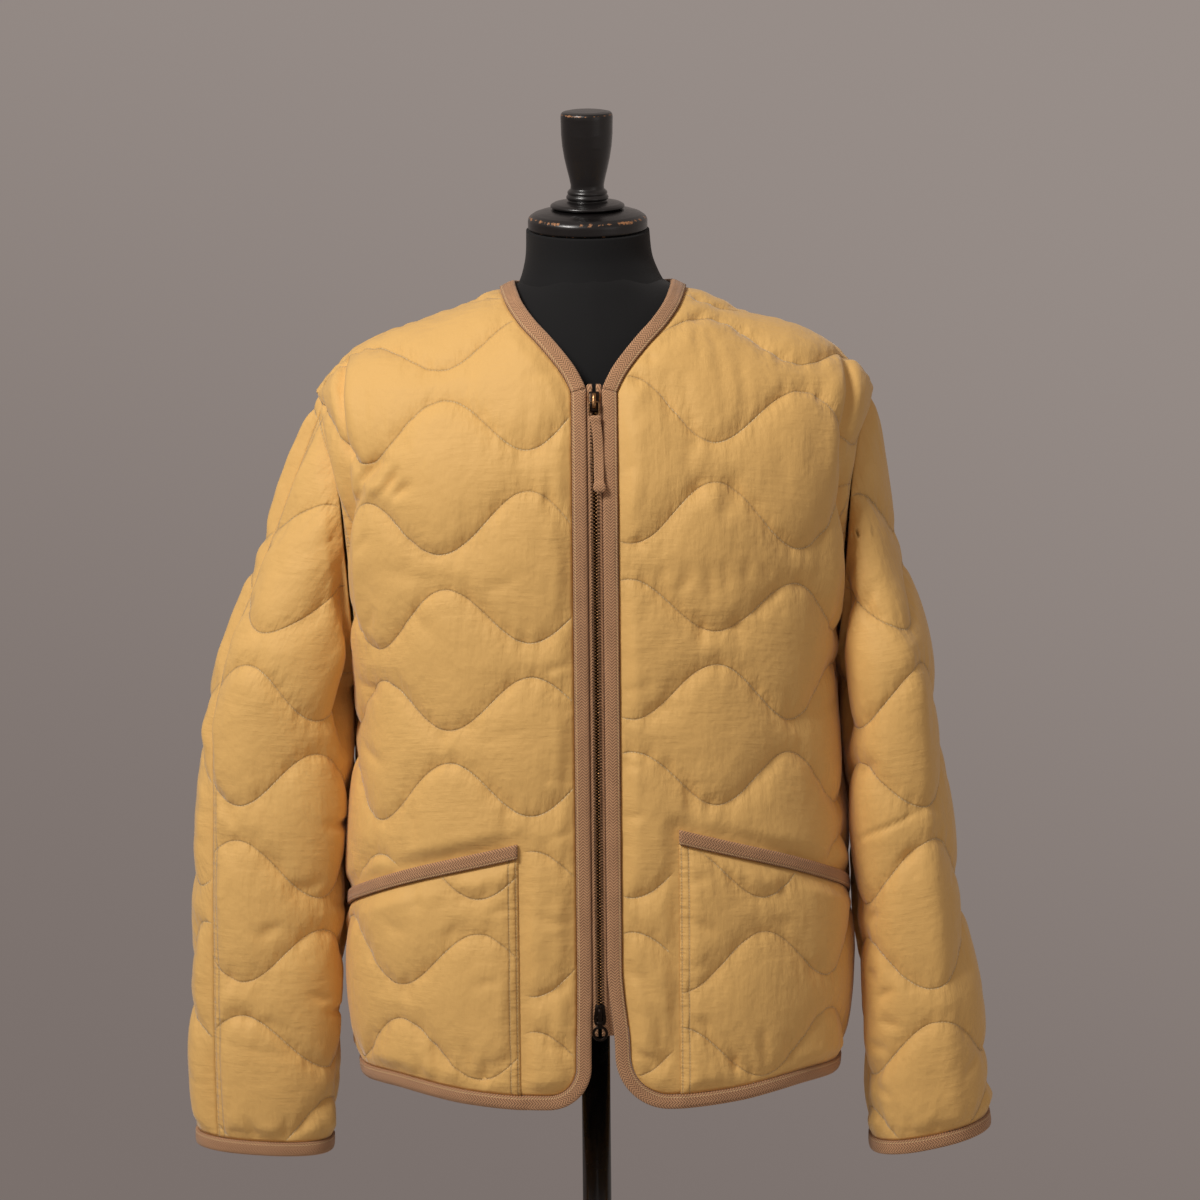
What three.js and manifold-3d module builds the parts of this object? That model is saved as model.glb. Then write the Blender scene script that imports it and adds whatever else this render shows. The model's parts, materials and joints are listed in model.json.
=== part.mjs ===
// Quilted liner jacket with tape-bound edges, worn by a limbless dress form on a pole stand.
// Millimetres, +Z up. The front of the jacket faces -Y and +X is the viewer's right.
// The origin is on the floor, on the base's underside, below the middle of the jacket.
import * as THREE from "three";
import { mergeVertices } from "three/addons/utils/BufferGeometryUtils.js";
import Module from "manifold-3d";

const wasm = await Module();
wasm.setup();
const { clamp, degToRad, lerp, smoothstep } = THREE.MathUtils;

// Driving dimensions of the jacket. Levels are heights above the neck point, so most are negative.
const NECK_HEIGHT = 1420;
const CLOTH = 2.4;
const SEAM = 0.3;
const HEM_LEVEL = -674;
const FRONT_EDGE = 6.3;
const SHOULDER_START = -200;
const SHOULDER_WIDTH = 233;
const BODY_DEPTH = 148;
const BODY_FULLNESS = 2.6;
const REFERENCE_WIDTH = 212;

// Edge tape
const TAPE_WIDTH = 12;
const TAPE_PROUD = 0.9;
const TAPE_THICKNESS = 4;

// Quilting: wavy stitch lines whose crests meet the next line's troughs
const QUILT_PITCH = 75;
const QUILT_SWING = 23;
const QUILT_WAVE = 140;
const QUILT_RISE = 4.2;
const QUILT_EDGE = 15;
// Stitch points keep this far from an edge and from other points
const STITCH_APART = 9;

// Mesh steps
const EDGE_STEP = 19;
const STITCH_STEP = 22;
const FILL_STEP = 26;
const FILL_APART = 10.5;
const INSIDE_STEP = 44;
const INSIDE_APART = 20;
const INSIDE_SHOULDER_UP = 120;
const INSIDE_SHOULDER_STEP = 27;
const INSIDE_SHOULDER_APART = 14;
const INSIDE_SLEEVE_STEP = 30;
const INSIDE_SLEEVE_APART = 16;

// Body of the jacket, half width at each level
const bodyRows = [
  { level: -690, halfWidth: 202 },
  { level: -600, halfWidth: 211 },
  { level: -500, halfWidth: 212 },
  { level: -420, halfWidth: 206 },
  { level: -340, halfWidth: 201 },
  { level: -277, halfWidth: 209 },
  { level: -219, halfWidth: 216 },
  { level: -155, halfWidth: 222.5 },
  { level: -91, halfWidth: SHOULDER_WIDTH },
];

// Shoulder line, level at each distance from the middle
const shoulderRows = [
  { out: 0, level: 24 },
  { out: 40, level: 16 },
  { out: 72, level: 0 },
  { out: 122, level: -23.5 },
  { out: 166, level: -37.5 },
  { out: 190, level: -48 },
  { out: 210, level: -61 },
  { out: 222, level: -73 },
  { out: SHOULDER_WIDTH, level: -91 },
];

// Front neckline, distance from the middle at each level
const neckRows = [
  { level: -84, out: FRONT_EDGE },
  { level: -76, out: 10 },
  { level: -67, out: 15 },
  { level: -57, out: 22.4 },
  { level: -42, out: 35.2 },
  { level: -28, out: 48.6 },
  { level: -14, out: 59 },
  { level: 0, out: 65.5 },
];
const NECK_HALF_WIDTH = 66.5;
const NECK_BACK_DEPTH = 66;

// Hem, level at each distance round from the middle of the front
const hemRows = [
  { round: 0, level: HEM_LEVEL - 1 },
  { round: 60, level: HEM_LEVEL - 2 },
  { round: 110, level: HEM_LEVEL + 1 },
  { round: 180, level: HEM_LEVEL + 8 },
  { round: 240, level: HEM_LEVEL + 4 },
  { round: 300, level: HEM_LEVEL - 1 },
  { round: 450, level: HEM_LEVEL - 6 },
  { round: 600, level: HEM_LEVEL - 7 },
];

// Armhole, an upright loop on the body's surface
const ARMHOLE_LEVEL = -210;
const ARMHOLE_HALF_HEIGHT = 119;
const ARMHOLE_FRONT_REACH = 55;
const ARMHOLE_BACK_REACH = 68;
const ARMHOLE_STATIONS = 44;
const ARMHOLE_SEAM = 0.34;

// Sleeves: rings from the upper arm to the cuff. tilt raises the outer side, in degrees.
const sleeves = {
  left: {
    side: -1,
    bulge: 1,
    seamAtArmhole: 0.045,
    seamAtCuff: 0.125,
    rings: [
      { level: -322, out: 262, halfWidth: 55, halfDepth: 76, forward: 4, tilt: 22 },
      { level: -378, out: 270, halfWidth: 64, halfDepth: 71, forward: 2, tilt: 14 },
      { level: -450, out: 274, halfWidth: 65, halfDepth: 65, forward: -4, tilt: 8 },
      { level: -530, out: 281, halfWidth: 64, halfDepth: 56, forward: -12, tilt: 3 },
      { level: -620, out: 286, halfWidth: 62, halfDepth: 48, forward: -20, tilt: 2 },
      { level: -737, out: 290, halfWidth: 59, halfDepth: 36, forward: -26, tilt: 4 },
    ],
  },
  right: {
    side: 1,
    bulge: -6,
    seamAtArmhole: -0.06,
    seamAtCuff: -0.12,
    rings: [
      { level: -318, out: 243, halfWidth: 38, halfDepth: 94, forward: 4, tilt: 14 },
      { level: -378, out: 248, halfWidth: 39, halfDepth: 90, forward: 0, tilt: 10 },
      { level: -450, out: 255, halfWidth: 42, halfDepth: 82, forward: -6, tilt: 9 },
      { level: -530, out: 264, halfWidth: 43, halfDepth: 72, forward: -16, tilt: 9 },
      { level: -620, out: 276, halfWidth: 47, halfDepth: 60, forward: -26, tilt: 8 },
      { level: -732, out: 283, halfWidth: 53, halfDepth: 46, forward: -32, tilt: 12 },
    ],
  },
};
const SLEEVE_FULLNESS = 2.3;
const SLEEVE_CLEARANCE = 7.5;

// Quilting of each panel: one stitch line's height and the place of its crest, in cloth distances
const quilts = {
  front_left: { level: -58, crest: -124 },
  front_right: { level: 25, crest: 98 },
  back: { level: 20, crest: 600 },
  pocket_left: { level: -353, crest: -99 },
  pocket_right: { level: -355, crest: 137 },
  sleeve_left: { level: 250, crest: 75 },
  sleeve_right: { level: 315, crest: -150 },
};

// Patch pockets: the opening slants down to the side seam
const pocketRows = {
  left: [
    { round: 60, level: -452 },
    { round: 150, level: -475 },
    { round: 225, level: -500 },
    { round: 310, level: -528 },
  ],
  right: [
    { round: 60, level: -441 },
    { round: 150, level: -466 },
    { round: 225, level: -491 },
    { round: 310, level: -519 },
  ],
};
const POCKET_INNER = 66;
const POCKET_WALL = 2;

// Zip
const ZIP_TOP = -80;
const ZIP_BOTTOM = -604;
const CHAIN_WIDTH = 7.4;
const CHAIN_THICKNESS = 3;
const ZIP_TAPE_INNER = 1.6;
const ZIP_TAPE_OUTER = 20;
const ZIP_TAPE_WALL = 1;

// Dress form and stand
const FORM_BOTTOM = -600;
const FORM_STATIONS = 32;
const FORM_RINGS = 14;
const FORM_WIDTH = 190;
const formRows = [
  { level: -600, halfWidth: 168, halfDepth: 116 },
  { level: -520, halfWidth: 166, halfDepth: 114 },
  { level: -380, halfWidth: 150, halfDepth: 102 },
  { level: -260, halfWidth: 164, halfDepth: 114 },
  { level: -180, halfWidth: 178, halfDepth: 120 },
  { level: -100, halfWidth: FORM_WIDTH, halfDepth: 120 },
];
const SHOULDER_REST = 1.15;
const NECK_RADIUS = 52;
const NECK_TOP = 45;
const NECK_LEAN = 10;
const STAND_SHIFT = -4;
const POLE_RADIUS = 12.5;
const BASE_RADIUS = 185;
const BASE_THICKNESS = 12;
const FOOT_HUB = 46;
const COLLAR_HEIGHT = 26;

const colours = {
  cloth: 0xd6a560,
  tape: 0x9a7350,
  metal: 0x4a3b2e,
  form: 0x1b1918,
  wood: 0x2d2926,
  pole: 0x0b0a08,
};

// Smooth curve through one column of a table whose key rises from row to row
function column(rows, key, name, at) {
  const last = rows.length - 1;
  const place = clamp(at, rows[0][key], rows[last][key]);
  let i = 0;
  while (i < last - 1 && rows[i + 1][key] < place) i++;
  const slope = (j) => {
    const a = rows[Math.max(j - 1, 0)];
    const b = rows[Math.min(j + 1, last)];
    return (b[name] - a[name]) / (b[key] - a[key]);
  };
  const span = rows[i + 1][key] - rows[i][key];
  const t = (place - rows[i][key]) / span;
  const ease = t * t * (3 - 2 * t);
  return (
    lerp(rows[i][name], rows[i + 1][name], ease) +
    span * t * (1 - t) * ((1 - t) * slope(i) - t * slope(i + 1))
  );
}

// Distance from the middle of a full oval to its edge, in the direction of an angle from the depth axis
function ovalRadius(angle, halfWidth, halfDepth, fullness) {
  const across = Math.abs(Math.sin(angle)) / halfWidth;
  const along = Math.abs(Math.cos(angle)) / halfDepth;
  return (across ** fullness + along ** fullness) ** (-1 / fullness);
}

// Table that turns a share of an oval's girth into an angle
function ovalArc(halfWidth, halfDepth, fullness) {
  const steps = 720;
  const total = [0];
  const spot = (i) => {
    const angle = (2 * Math.PI * i) / steps;
    const r = ovalRadius(angle, halfWidth, halfDepth, fullness);
    return new THREE.Vector2(r * Math.sin(angle), r * Math.cos(angle));
  };
  for (let i = 1; i <= steps; i++) total.push(total[i - 1] + spot(i).distanceTo(spot(i - 1)));
  const girth = total[steps];
  const angleAt = (share) => {
    const turns = Math.floor(share);
    const target = (share - turns) * girth;
    let low = 0;
    let high = steps;
    while (high - low > 1) {
      const middle = (low + high) >> 1;
      if (total[middle] <= target) low = middle;
      else high = middle;
    }
    const part = (target - total[low]) / (total[high] - total[low]);
    return 2 * Math.PI * (turns + (low + part) / steps);
  };
  return { girth, angleAt };
}

const bodyArc = ovalArc(REFERENCE_WIDTH, BODY_DEPTH, BODY_FULLNESS);
const SIDE = bodyArc.girth / 4;
const bodyAngle = (round) => bodyArc.angleAt(round / bodyArc.girth);
const bodyWidth = (level) => column(bodyRows, "level", "halfWidth", level);
const shoulderLevel = (out) => column(shoulderRows, "out", "level", Math.abs(out));

// Above SHOULDER_START the front and back lean together in quarter ellipses that meet at the shoulder line
function shoulderArc(angle) {
  const r = ovalRadius(angle, SHOULDER_WIDTH, BODY_DEPTH, BODY_FULLNESS);
  const height = shoulderLevel(r * Math.sin(angle)) - SHOULDER_START;
  const depth = Math.abs(r * Math.cos(angle));
  return { height, depth, length: Math.sqrt((height ** 2 + depth ** 2) / 2) };
}

// Height of the shoulder line in cloth distances
const shoulderTop = (round) => (Math.PI / 2) * shoulderArc(bodyAngle(round)).length;

// Cloth distances (round from the middle of the front, up from SHOULDER_START) to a place on the body
function bodyPlace(round, up) {
  const angle = bodyAngle(round);
  const arc = shoulderArc(angle);
  const lean = Math.max(up, 0) / arc.length;
  const level = SHOULDER_START + (up > 0 ? arc.height * Math.sin(lean) : up);
  const r = ovalRadius(angle, bodyWidth(level), BODY_DEPTH, BODY_FULLNESS);
  const y = -r * Math.cos(angle) * (up > 0 ? Math.cos(lean) : 1);
  return new THREE.Vector3(r * Math.sin(angle), y, NECK_HEIGHT + level);
}

// Cloth distance up of a level on the line that is a given distance round
function upAt(round, level) {
  if (level <= SHOULDER_START) return level - SHOULDER_START;
  const arc = shoulderArc(bodyAngle(round));
  return Math.asin(clamp((level - SHOULDER_START) / arc.height, 0, 1)) * arc.length;
}

// Distance round at which the body lies a given distance out from the middle, at a level
function roundAt(out, level) {
  let low = 0;
  let high = SIDE;
  for (let i = 0; i < 40; i++) {
    const middle = (low + high) / 2;
    const angle = bodyAngle(middle);
    const r = ovalRadius(angle, bodyWidth(level), BODY_DEPTH, BODY_FULLNESS);
    if (r * Math.sin(angle) < out) low = middle;
    else high = middle;
  }
  return low;
}

// Outward normal of a placed surface
function outward(place, s, h) {
  const step = 0.5;
  const along = place(s + step, h).sub(place(s - step, h));
  const upward = place(s, h + step).sub(place(s, h - step));
  return along.cross(upward).normalize();
}

// Even points along a line given as dense points; both ends are kept
function evenly(points, step) {
  const total = [0];
  for (let i = 1; i < points.length; i++) total.push(total[i - 1] + points[i].distanceTo(points[i - 1]));
  const length = total[points.length - 1];
  const count = Math.max(1, Math.round(length / step));
  const found = [points[0].clone()];
  let i = 1;
  for (let k = 1; k < count; k++) {
    const target = (length * k) / count;
    while (total[i] < target) i++;
    found.push(points[i - 1].clone().lerp(points[i], (target - total[i - 1]) / (total[i] - total[i - 1])));
  }
  found.push(points[points.length - 1].clone());
  return found;
}

const flat = (s, h) => new THREE.Vector2(s, h);
const curve = (count, point) => Array.from({ length: count + 1 }, (_, i) => point(i / count));

// The line moved sideways to its left by a distance
function moved(points, distance) {
  return points.map((point, i) => {
    const before = points[Math.max(i - 1, 0)];
    const after = points[Math.min(i + 1, points.length - 1)];
    const along = after.clone().sub(before).normalize();
    return flat(point.x - along.y * distance, point.y + along.x * distance);
  });
}

function inside(outline, point) {
  let odd = false;
  outline.forEach((a, i) => {
    const b = outline[(i + 1) % outline.length];
    if (a.y > point.y !== b.y > point.y) {
      if (point.x < a.x + ((point.y - a.y) * (b.x - a.x)) / (b.y - a.y)) odd = !odd;
    }
  });
  return odd;
}

function edgeDistance(outline, point) {
  let least = Infinity;
  outline.forEach((a, i) => {
    const b = outline[(i + 1) % outline.length];
    const span = b.clone().sub(a);
    const t = clamp(point.clone().sub(a).dot(span) / span.lengthSq(), 0, 1);
    least = Math.min(least, point.distanceTo(span.multiplyScalar(t).add(a)));
  });
  return least;
}

// Delaunay triangles of flat points, one point added at a time
function triangulate(points) {
  const far = 1e5;
  const all = [...points, flat(-far, -far), flat(far, -far), flat(0, far)];
  const circle = (a, b, c) => {
    const [p, q, r] = [all[a], all[b], all[c]];
    const d = 2 * (p.x * (q.y - r.y) + q.x * (r.y - p.y) + r.x * (p.y - q.y));
    const [pp, qq, rr] = [p.lengthSq(), q.lengthSq(), r.lengthSq()];
    const x = (pp * (q.y - r.y) + qq * (r.y - p.y) + rr * (p.y - q.y)) / d;
    const y = (pp * (r.x - q.x) + qq * (p.x - r.x) + rr * (q.x - p.x)) / d;
    return { corners: [a, b, c], x, y, reach: (p.x - x) ** 2 + (p.y - y) ** 2 };
  };
  let triangles = [circle(points.length, points.length + 1, points.length + 2)];
  points.forEach((point, index) => {
    const rim = new Map();
    const kept = [];
    for (const triangle of triangles) {
      const away = (point.x - triangle.x) ** 2 + (point.y - triangle.y) ** 2;
      if (away > triangle.reach) {
        kept.push(triangle);
        continue;
      }
      triangle.corners.forEach((a, i) => {
        const b = triangle.corners[(i + 1) % 3];
        if (rim.has(b + "," + a)) rim.delete(b + "," + a);
        else rim.set(a + "," + b, [a, b]);
      });
    }
    for (const [a, b] of rim.values()) kept.push(circle(a, b, index));
    triangles = kept;
  });
  return triangles.map((triangle) => triangle.corners).filter((c) => c.every((i) => i < points.length));
}

// Triangles of a closed outline with points inside it
function fillOutline(outline, points) {
  const all = [...outline, ...points];
  const triangles = triangulate(all).filter(([a, b, c]) => {
    const middle = flat((all[a].x + all[b].x + all[c].x) / 3, (all[a].y + all[b].y + all[c].y) / 3);
    return inside(outline, middle);
  });
  const edges = new Set(triangles.flatMap(([a, b, c]) => [a + "," + b, b + "," + c, c + "," + a]));
  outline.forEach((_, i) => {
    const next = (i + 1) % outline.length;
    if (!edges.has(i + "," + next)) throw new Error("the outline's edge " + i + " is cut through");
  });
  return triangles;
}

// Points of an even triangular grid inside an outline, apart from its edge and from points already there
function gridPoints(outline, step, taken, apart) {
  const xs = outline.map((p) => p.x);
  const ys = outline.map((p) => p.y);
  const found = [];
  const rise = step * Math.sqrt(0.75);
  const rows = Math.ceil((Math.max(...ys) - Math.min(...ys)) / rise);
  const columns = Math.ceil((Math.max(...xs) - Math.min(...xs)) / step) + 1;
  for (let row = 0; row <= rows; row++) {
    for (let col = 0; col <= columns; col++) {
      // A slight unevenness keeps four points from lying on one circle
      const x = Math.min(...xs) + (col + (row % 2) / 2) * step + 0.4 * Math.sin(5 * row + 3 * col);
      const point = flat(x, Math.min(...ys) + row * rise + 0.4 * Math.sin(7 * col + row));
      if (!inside(outline, point) || edgeDistance(outline, point) < apart) continue;
      if (taken.every((other) => other.distanceTo(point) > apart)) found.push(point);
    }
  }
  return found;
}

// Height of one stitch line of a quilt
const stitchLine = (quilt, index, s) =>
  quilt.level +
  index * QUILT_PITCH +
  (index % 2 ? -1 : 1) * QUILT_SWING * Math.cos((2 * Math.PI * (s - quilt.crest)) / QUILT_WAVE);

// How far the padding lifts the cloth between two stitch lines
function quiltRise(quilt, s, h) {
  let index = Math.floor((h - quilt.level) / QUILT_PITCH) - 2;
  while (stitchLine(quilt, index + 1, s) <= h) index++;
  const low = stitchLine(quilt, index, s);
  const band = stitchLine(quilt, index + 1, s) - low;
  return QUILT_RISE * Math.sqrt(band / QUILT_PITCH) * Math.sin((Math.PI * (h - low)) / band) ** 0.75;
}

// Points along the stitch lines inside an outline
function stitchPoints(outline, quilt, apart) {
  const xs = outline.map((p) => p.x);
  const ys = outline.map((p) => p.y);
  const first = Math.floor((Math.min(...ys) - QUILT_SWING - quilt.level) / QUILT_PITCH);
  const last = Math.ceil((Math.max(...ys) + QUILT_SWING - quilt.level) / QUILT_PITCH);
  const found = [];
  for (let index = first; index <= last; index++) {
    const span = Math.max(...xs) - Math.min(...xs);
    const line = curve(200, (t) => {
      const s = Math.min(...xs) + t * span;
      return flat(s, stitchLine(quilt, index, s));
    });
    for (const point of evenly(line, STITCH_STEP)) {
      if (inside(outline, point) && edgeDistance(outline, point) > apart) found.push(point);
    }
  }
  return found;
}

// A closed mesh from corners and triangles
function solid(name, corners, triangles, colour, roughness = 0.8, metalness = 0) {
  const geometry = new THREE.BufferGeometry();
  geometry.setAttribute("position", new THREE.Float32BufferAttribute(corners.flatMap((p) => p.toArray()), 3));
  geometry.setIndex(triangles.flat());
  geometry.computeVertexNormals();
  return named(name, geometry, colour, roughness, metalness);
}

function named(name, geometry, colour, roughness = 0.8, metalness = 0) {
  const mesh = new THREE.Mesh(geometry, new THREE.MeshStandardMaterial({ color: colour, roughness, metalness }));
  mesh.name = name;
  return mesh;
}

// A cloth wall over a flat outline. Stations of the outline may carry their own place (at) and normal (out).
function clothPanel({ name, outline, place, rise, points, insidePoints, wall = CLOTH, colour = colours.cloth }) {
  const area = outline.reduce((sum, a, i) => sum + a.cross(outline[(i + 1) % outline.length]), 0);
  const ring = area > 0 ? outline : [...outline].reverse();
  const sheet = (inner, extra, lift) => {
    const corners = [...ring, ...extra].map((p) => {
      const out = p.out ?? outward(place, p.x, p.y);
      const from = p.at ? p.at.clone() : place(p.x, p.y);
      return from.addScaledVector(out, inner ? -wall : lift(p));
    });
    return { corners, triangles: fillOutline(ring, extra) };
  };
  const outer = sheet(false, points, (p) => (ring.includes(p) ? 0 : rise(p)));
  const inner = sheet(true, insidePoints);
  const shift = outer.corners.length;
  const rim = ring.flatMap((_, a) => {
    const b = (a + 1) % ring.length;
    return [
      [b, a, a + shift],
      [b, a + shift, b + shift],
    ];
  });
  const back = inner.triangles.map(([a, b, c]) => [a + shift, c + shift, b + shift]);
  return solid(name, [...outer.corners, ...inner.corners], [...outer.triangles, ...rim, ...back], colour);
}

// A band between stations: each station gives the corners of its section, in order round it
function band(name, sections, colour, roughness, metalness, closed = false) {
  const size = sections[0].length;
  const triangles = [];
  const count = closed ? sections.length : sections.length - 1;
  for (let i = 0; i < count; i++) {
    const next = (i + 1) % sections.length;
    for (let j = 0; j < size; j++) {
      const k = (j + 1) % size;
      triangles.push([i * size + j, i * size + k, next * size + k]);
      triangles.push([i * size + j, next * size + k, next * size + j]);
    }
  }
  const last = (sections.length - 1) * size;
  for (let j = 1; j < size - 1 && !closed; j++) {
    triangles.push([0, j + 1, j]);
    triangles.push([last, last + j, last + j + 1]);
  }
  const corners = sections.flat();
  const mesh = solid(name, corners, triangles, colour, roughness, metalness);
  if (signedVolume(corners, triangles) < 0) mesh.geometry.setIndex(triangles.map(([a, b, c]) => [a, c, b]).flat());
  mesh.geometry.computeVertexNormals();
  return mesh;
}

function signedVolume(corners, triangles) {
  return triangles.reduce((sum, [a, b, c]) => sum + corners[a].dot(corners[b].clone().cross(corners[c])), 0);
}

// Section of folded tape round an edge: flat faces with a rounded fold at the outer side
function tapeSection(place, edge, inner, high, low) {
  const along = (t, height) => {
    const p = edge.clone().lerp(inner, t);
    return place(p.x, p.y).addScaledVector(outward(place, p.x, p.y), height);
  };
  const middle = (high + low) / 2;
  return [along(1, high), along(0.09, high), along(0, middle), along(0.09, low), along(1, low)];
}

const group = new THREE.Group();
const sides = [
  { name: "left", side: -1, corner: 36, sweep: 1 },
  { name: "right", side: 1, corner: 46, sweep: 6 },
];

// Armhole loop of one side. share runs from the shoulder round by the front to the underarm and the back.
const armholeArc = ovalArc(ARMHOLE_FRONT_REACH, ARMHOLE_HALF_HEIGHT, 2);
function armholeCloth(side, share) {
  const angle = armholeArc.angleAt(share);
  const reach = Math.sin(angle) > 0 ? ARMHOLE_FRONT_REACH : ARMHOLE_BACK_REACH;
  const r = ovalRadius(angle, ARMHOLE_FRONT_REACH, ARMHOLE_HALF_HEIGHT, 2);
  const away = (r * Math.sin(angle) * reach) / ARMHOLE_FRONT_REACH;
  const round = SIDE - away;
  const up = upAt(round, ARMHOLE_LEVEL + r * Math.cos(angle));
  return flat(side * round, up);
}

const armholePlace = (side, share) => {
  const p = armholeCloth(side, share);
  return bodyPlace(p.x, p.y);
};

// Rings of a sleeve as places for a share of the girth, counted like the armhole's
function ringPlace(sleeve, ring, share) {
  ring.arc ??= ovalArc(ring.halfDepth, ring.halfWidth, SLEEVE_FULLNESS);
  const angle = ring.arc.angleAt(share);
  const r = ovalRadius(angle, ring.halfDepth, ring.halfWidth, SLEEVE_FULLNESS);
  const out = r * Math.cos(angle);
  const tilt = degToRad(ring.tilt);
  return new THREE.Vector3(
    sleeve.side * (ring.out + out * Math.cos(tilt)),
    ring.forward - r * Math.sin(angle),
    NECK_HEIGHT + ring.level + out * Math.sin(tilt),
  );
}

// A line down the sleeve at one share of the girth, from cuff to armhole, with its distances from the cuff
const sleeveLines = new Map();
function sleeveLine(sleeve, share) {
  const key = sleeve.side + "/" + share.toFixed(6);
  if (sleeveLines.has(key)) return sleeveLines.get(key);
  const knots = [...sleeve.rings].reverse().map((ring) => ringPlace(sleeve, ring, share));
  const top = armholePlace(sleeve.side, share);
  const upper = knots[knots.length - 1].clone().lerp(top, 0.5);
  const outer = Math.max(0, Math.cos(2 * Math.PI * share));
  upper.x += sleeve.side * sleeve.bulge * outer;
  knots.push(upper, top);
  const distance = [0];
  for (let i = 1; i < knots.length; i++) distance.push(distance[i - 1] + knots[i].distanceTo(knots[i - 1]));
  const line = { knots, distance, length: distance[knots.length - 1] };
  sleeveLines.set(key, line);
  return line;
}

function alongLine({ knots, distance }, up) {
  const last = knots.length - 1;
  let i = 0;
  while (i < last - 1 && distance[i + 1] < up) i++;
  const slope = (j) => {
    const a = Math.max(j - 1, 0);
    const b = Math.min(j + 1, last);
    return knots[b].clone().sub(knots[a]).divideScalar(distance[b] - distance[a]);
  };
  const span = distance[i + 1] - distance[i];
  const t = (up - distance[i]) / span;
  const ease = t * t * (3 - 2 * t);
  return knots[i]
    .clone()
    .lerp(knots[i + 1], ease)
    .addScaledVector(slope(i), span * t * (1 - t) * (1 - t))
    .addScaledVector(slope(i + 1), -span * t * t * (1 - t));
}

// Girth of a sleeve at a distance up from the cuff
function sleeveGirth(sleeve, up) {
  sleeve.girths ??= [...sleeve.rings].reverse().map((ring, i) => ({
    up: sleeveLine(sleeve, 0.25).distance[i],
    girth: (ringPlace(sleeve, ring, 0), ring.arc.girth),
  }));
  return column(sleeve.girths, "up", "girth", up);
}

// The sleeve's side of the armpit is pressed flat just clear of the body
function sleevePlace(sleeve, share, up) {
  const line = sleeveLine(sleeve, share);
  const place = alongLine(line, up);
  const free = smoothstep(line.length - up, 0, 27);
  const level = place.z - NECK_HEIGHT;
  const depth = Math.min(Math.abs(place.y) / BODY_DEPTH, 1);
  const body = bodyWidth(level) * (1 - depth ** BODY_FULLNESS) ** (1 / BODY_FULLNESS);
  const limit = body + SLEEVE_CLEARANCE * free;
  const out = place.x * sleeve.side;
  const soft = 8 * free;
  if (level < ARMHOLE_LEVEL) place.x = (sleeve.side * (out + limit + Math.hypot(out - limit, soft))) / 2;
  return place;
}

// Cloth distances of a sleeve: s runs so that the outside faces out on both sides
const sleeveShare = (sleeve, s, up) => (-sleeve.side * s) / sleeveGirth(sleeve, up);
const sleeveAcross = (sleeve, share, up) => -sleeve.side * share * sleeveGirth(sleeve, up);
const sleeveSurface = (sleeve) => (s, up) => sleevePlace(sleeve, sleeveShare(sleeve, s, up), up);

// Shared seam of body and sleeve: both walls end on parallel faces, one seam apart
function armholeStation(sleeve, share, ofSleeve, endShift = 0) {
  const cloth = armholeCloth(sleeve.side, share);
  const top = sleeveLine(sleeve, share).length;
  const across = sleeveAcross(sleeve, share, top);
  const at = armholePlace(sleeve.side, share);
  const body = outward(bodyPlace, cloth.x, cloth.y - 1);
  const arm = outward(sleeveSurface(sleeve), across, top - 6);
  const out = body.add(arm).add(new THREE.Vector3(0, 0, -0.35)).normalize();
  const step = 0.004;
  const tangent = armholePlace(sleeve.side, share + step).sub(armholePlace(sleeve.side, share - step)).normalize();
  out.addScaledVector(tangent, -out.dot(tangent)).normalize();
  const toSleeve = out.clone().cross(tangent).multiplyScalar(sleeve.side);
  at.addScaledVector(toSleeve, (ofSleeve ? 1 : -1) * ARMHOLE_SEAM).addScaledVector(tangent, endShift);
  const station = ofSleeve ? flat(across, top) : flat(cloth.x, cloth.y);
  return Object.assign(station, { at, out });
}

const armholeShares = (from, to) => {
  const first = Math.ceil(from * ARMHOLE_STATIONS + 0.3);
  const last = Math.floor(to * ARMHOLE_STATIONS - 0.3);
  const between = Array.from({ length: last - first + 1 }, (_, i) => (first + i) / ARMHOLE_STATIONS);
  return [from, ...between, to];
};

// Part of the armhole as stations from one share to another, with the two ends drawn in by half a seam
function armholeRun(sleeve, from, to, ofSleeve) {
  const shares = armholeShares(from, to);
  return shares.map((share, i) => {
    const shift = i === 0 ? ARMHOLE_SEAM : i === shares.length - 1 ? -ARMHOLE_SEAM : 0;
    return armholeStation(sleeve, share, ofSleeve, shift);
  });
}

// Free edge of one front in cloth distances: down the neckline and the front, round the corner and along the hem
function frontEdge({ corner, sweep }) {
  const neck = curve(60, (t) => {
    const level = lerp(0, neckRows[0].level, t);
    const round = roundAt(column(neckRows, "level", "out", level), level);
    return flat(round, upAt(round, level));
  });
  const shoulderRound = roundAt(NECK_HALF_WIDTH, 0);
  const start = flat(shoulderRound, shoulderTop(shoulderRound));
  const hem = (round) => column(hemRows, "round", "level", round) - SHOULDER_START;
  const foot = FRONT_EDGE + sweep;
  const bottom = hem(foot + corner);
  const down = curve(60, (t) => {
    const up = lerp(upAt(0, neckRows[0].level) - SEAM, bottom + corner, t);
    return flat(FRONT_EDGE + sweep * smoothstep(t, 0.86, 1), up);
  });
  const turn = curve(16, (t) => {
    const angle = (t * Math.PI) / 2;
    return flat(foot + corner - corner * Math.cos(angle), bottom + corner - corner * Math.sin(angle));
  }).slice(1);
  const along = curve(60, (t) => {
    const round = lerp(foot + corner, SIDE, t);
    return flat(round, hem(round));
  }).slice(1);
  return { neck: [start, ...neck], rest: [...down, ...turn, ...along] };
}

const mirrored = (side, point) => flat(side * point.x, point.y);

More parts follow.
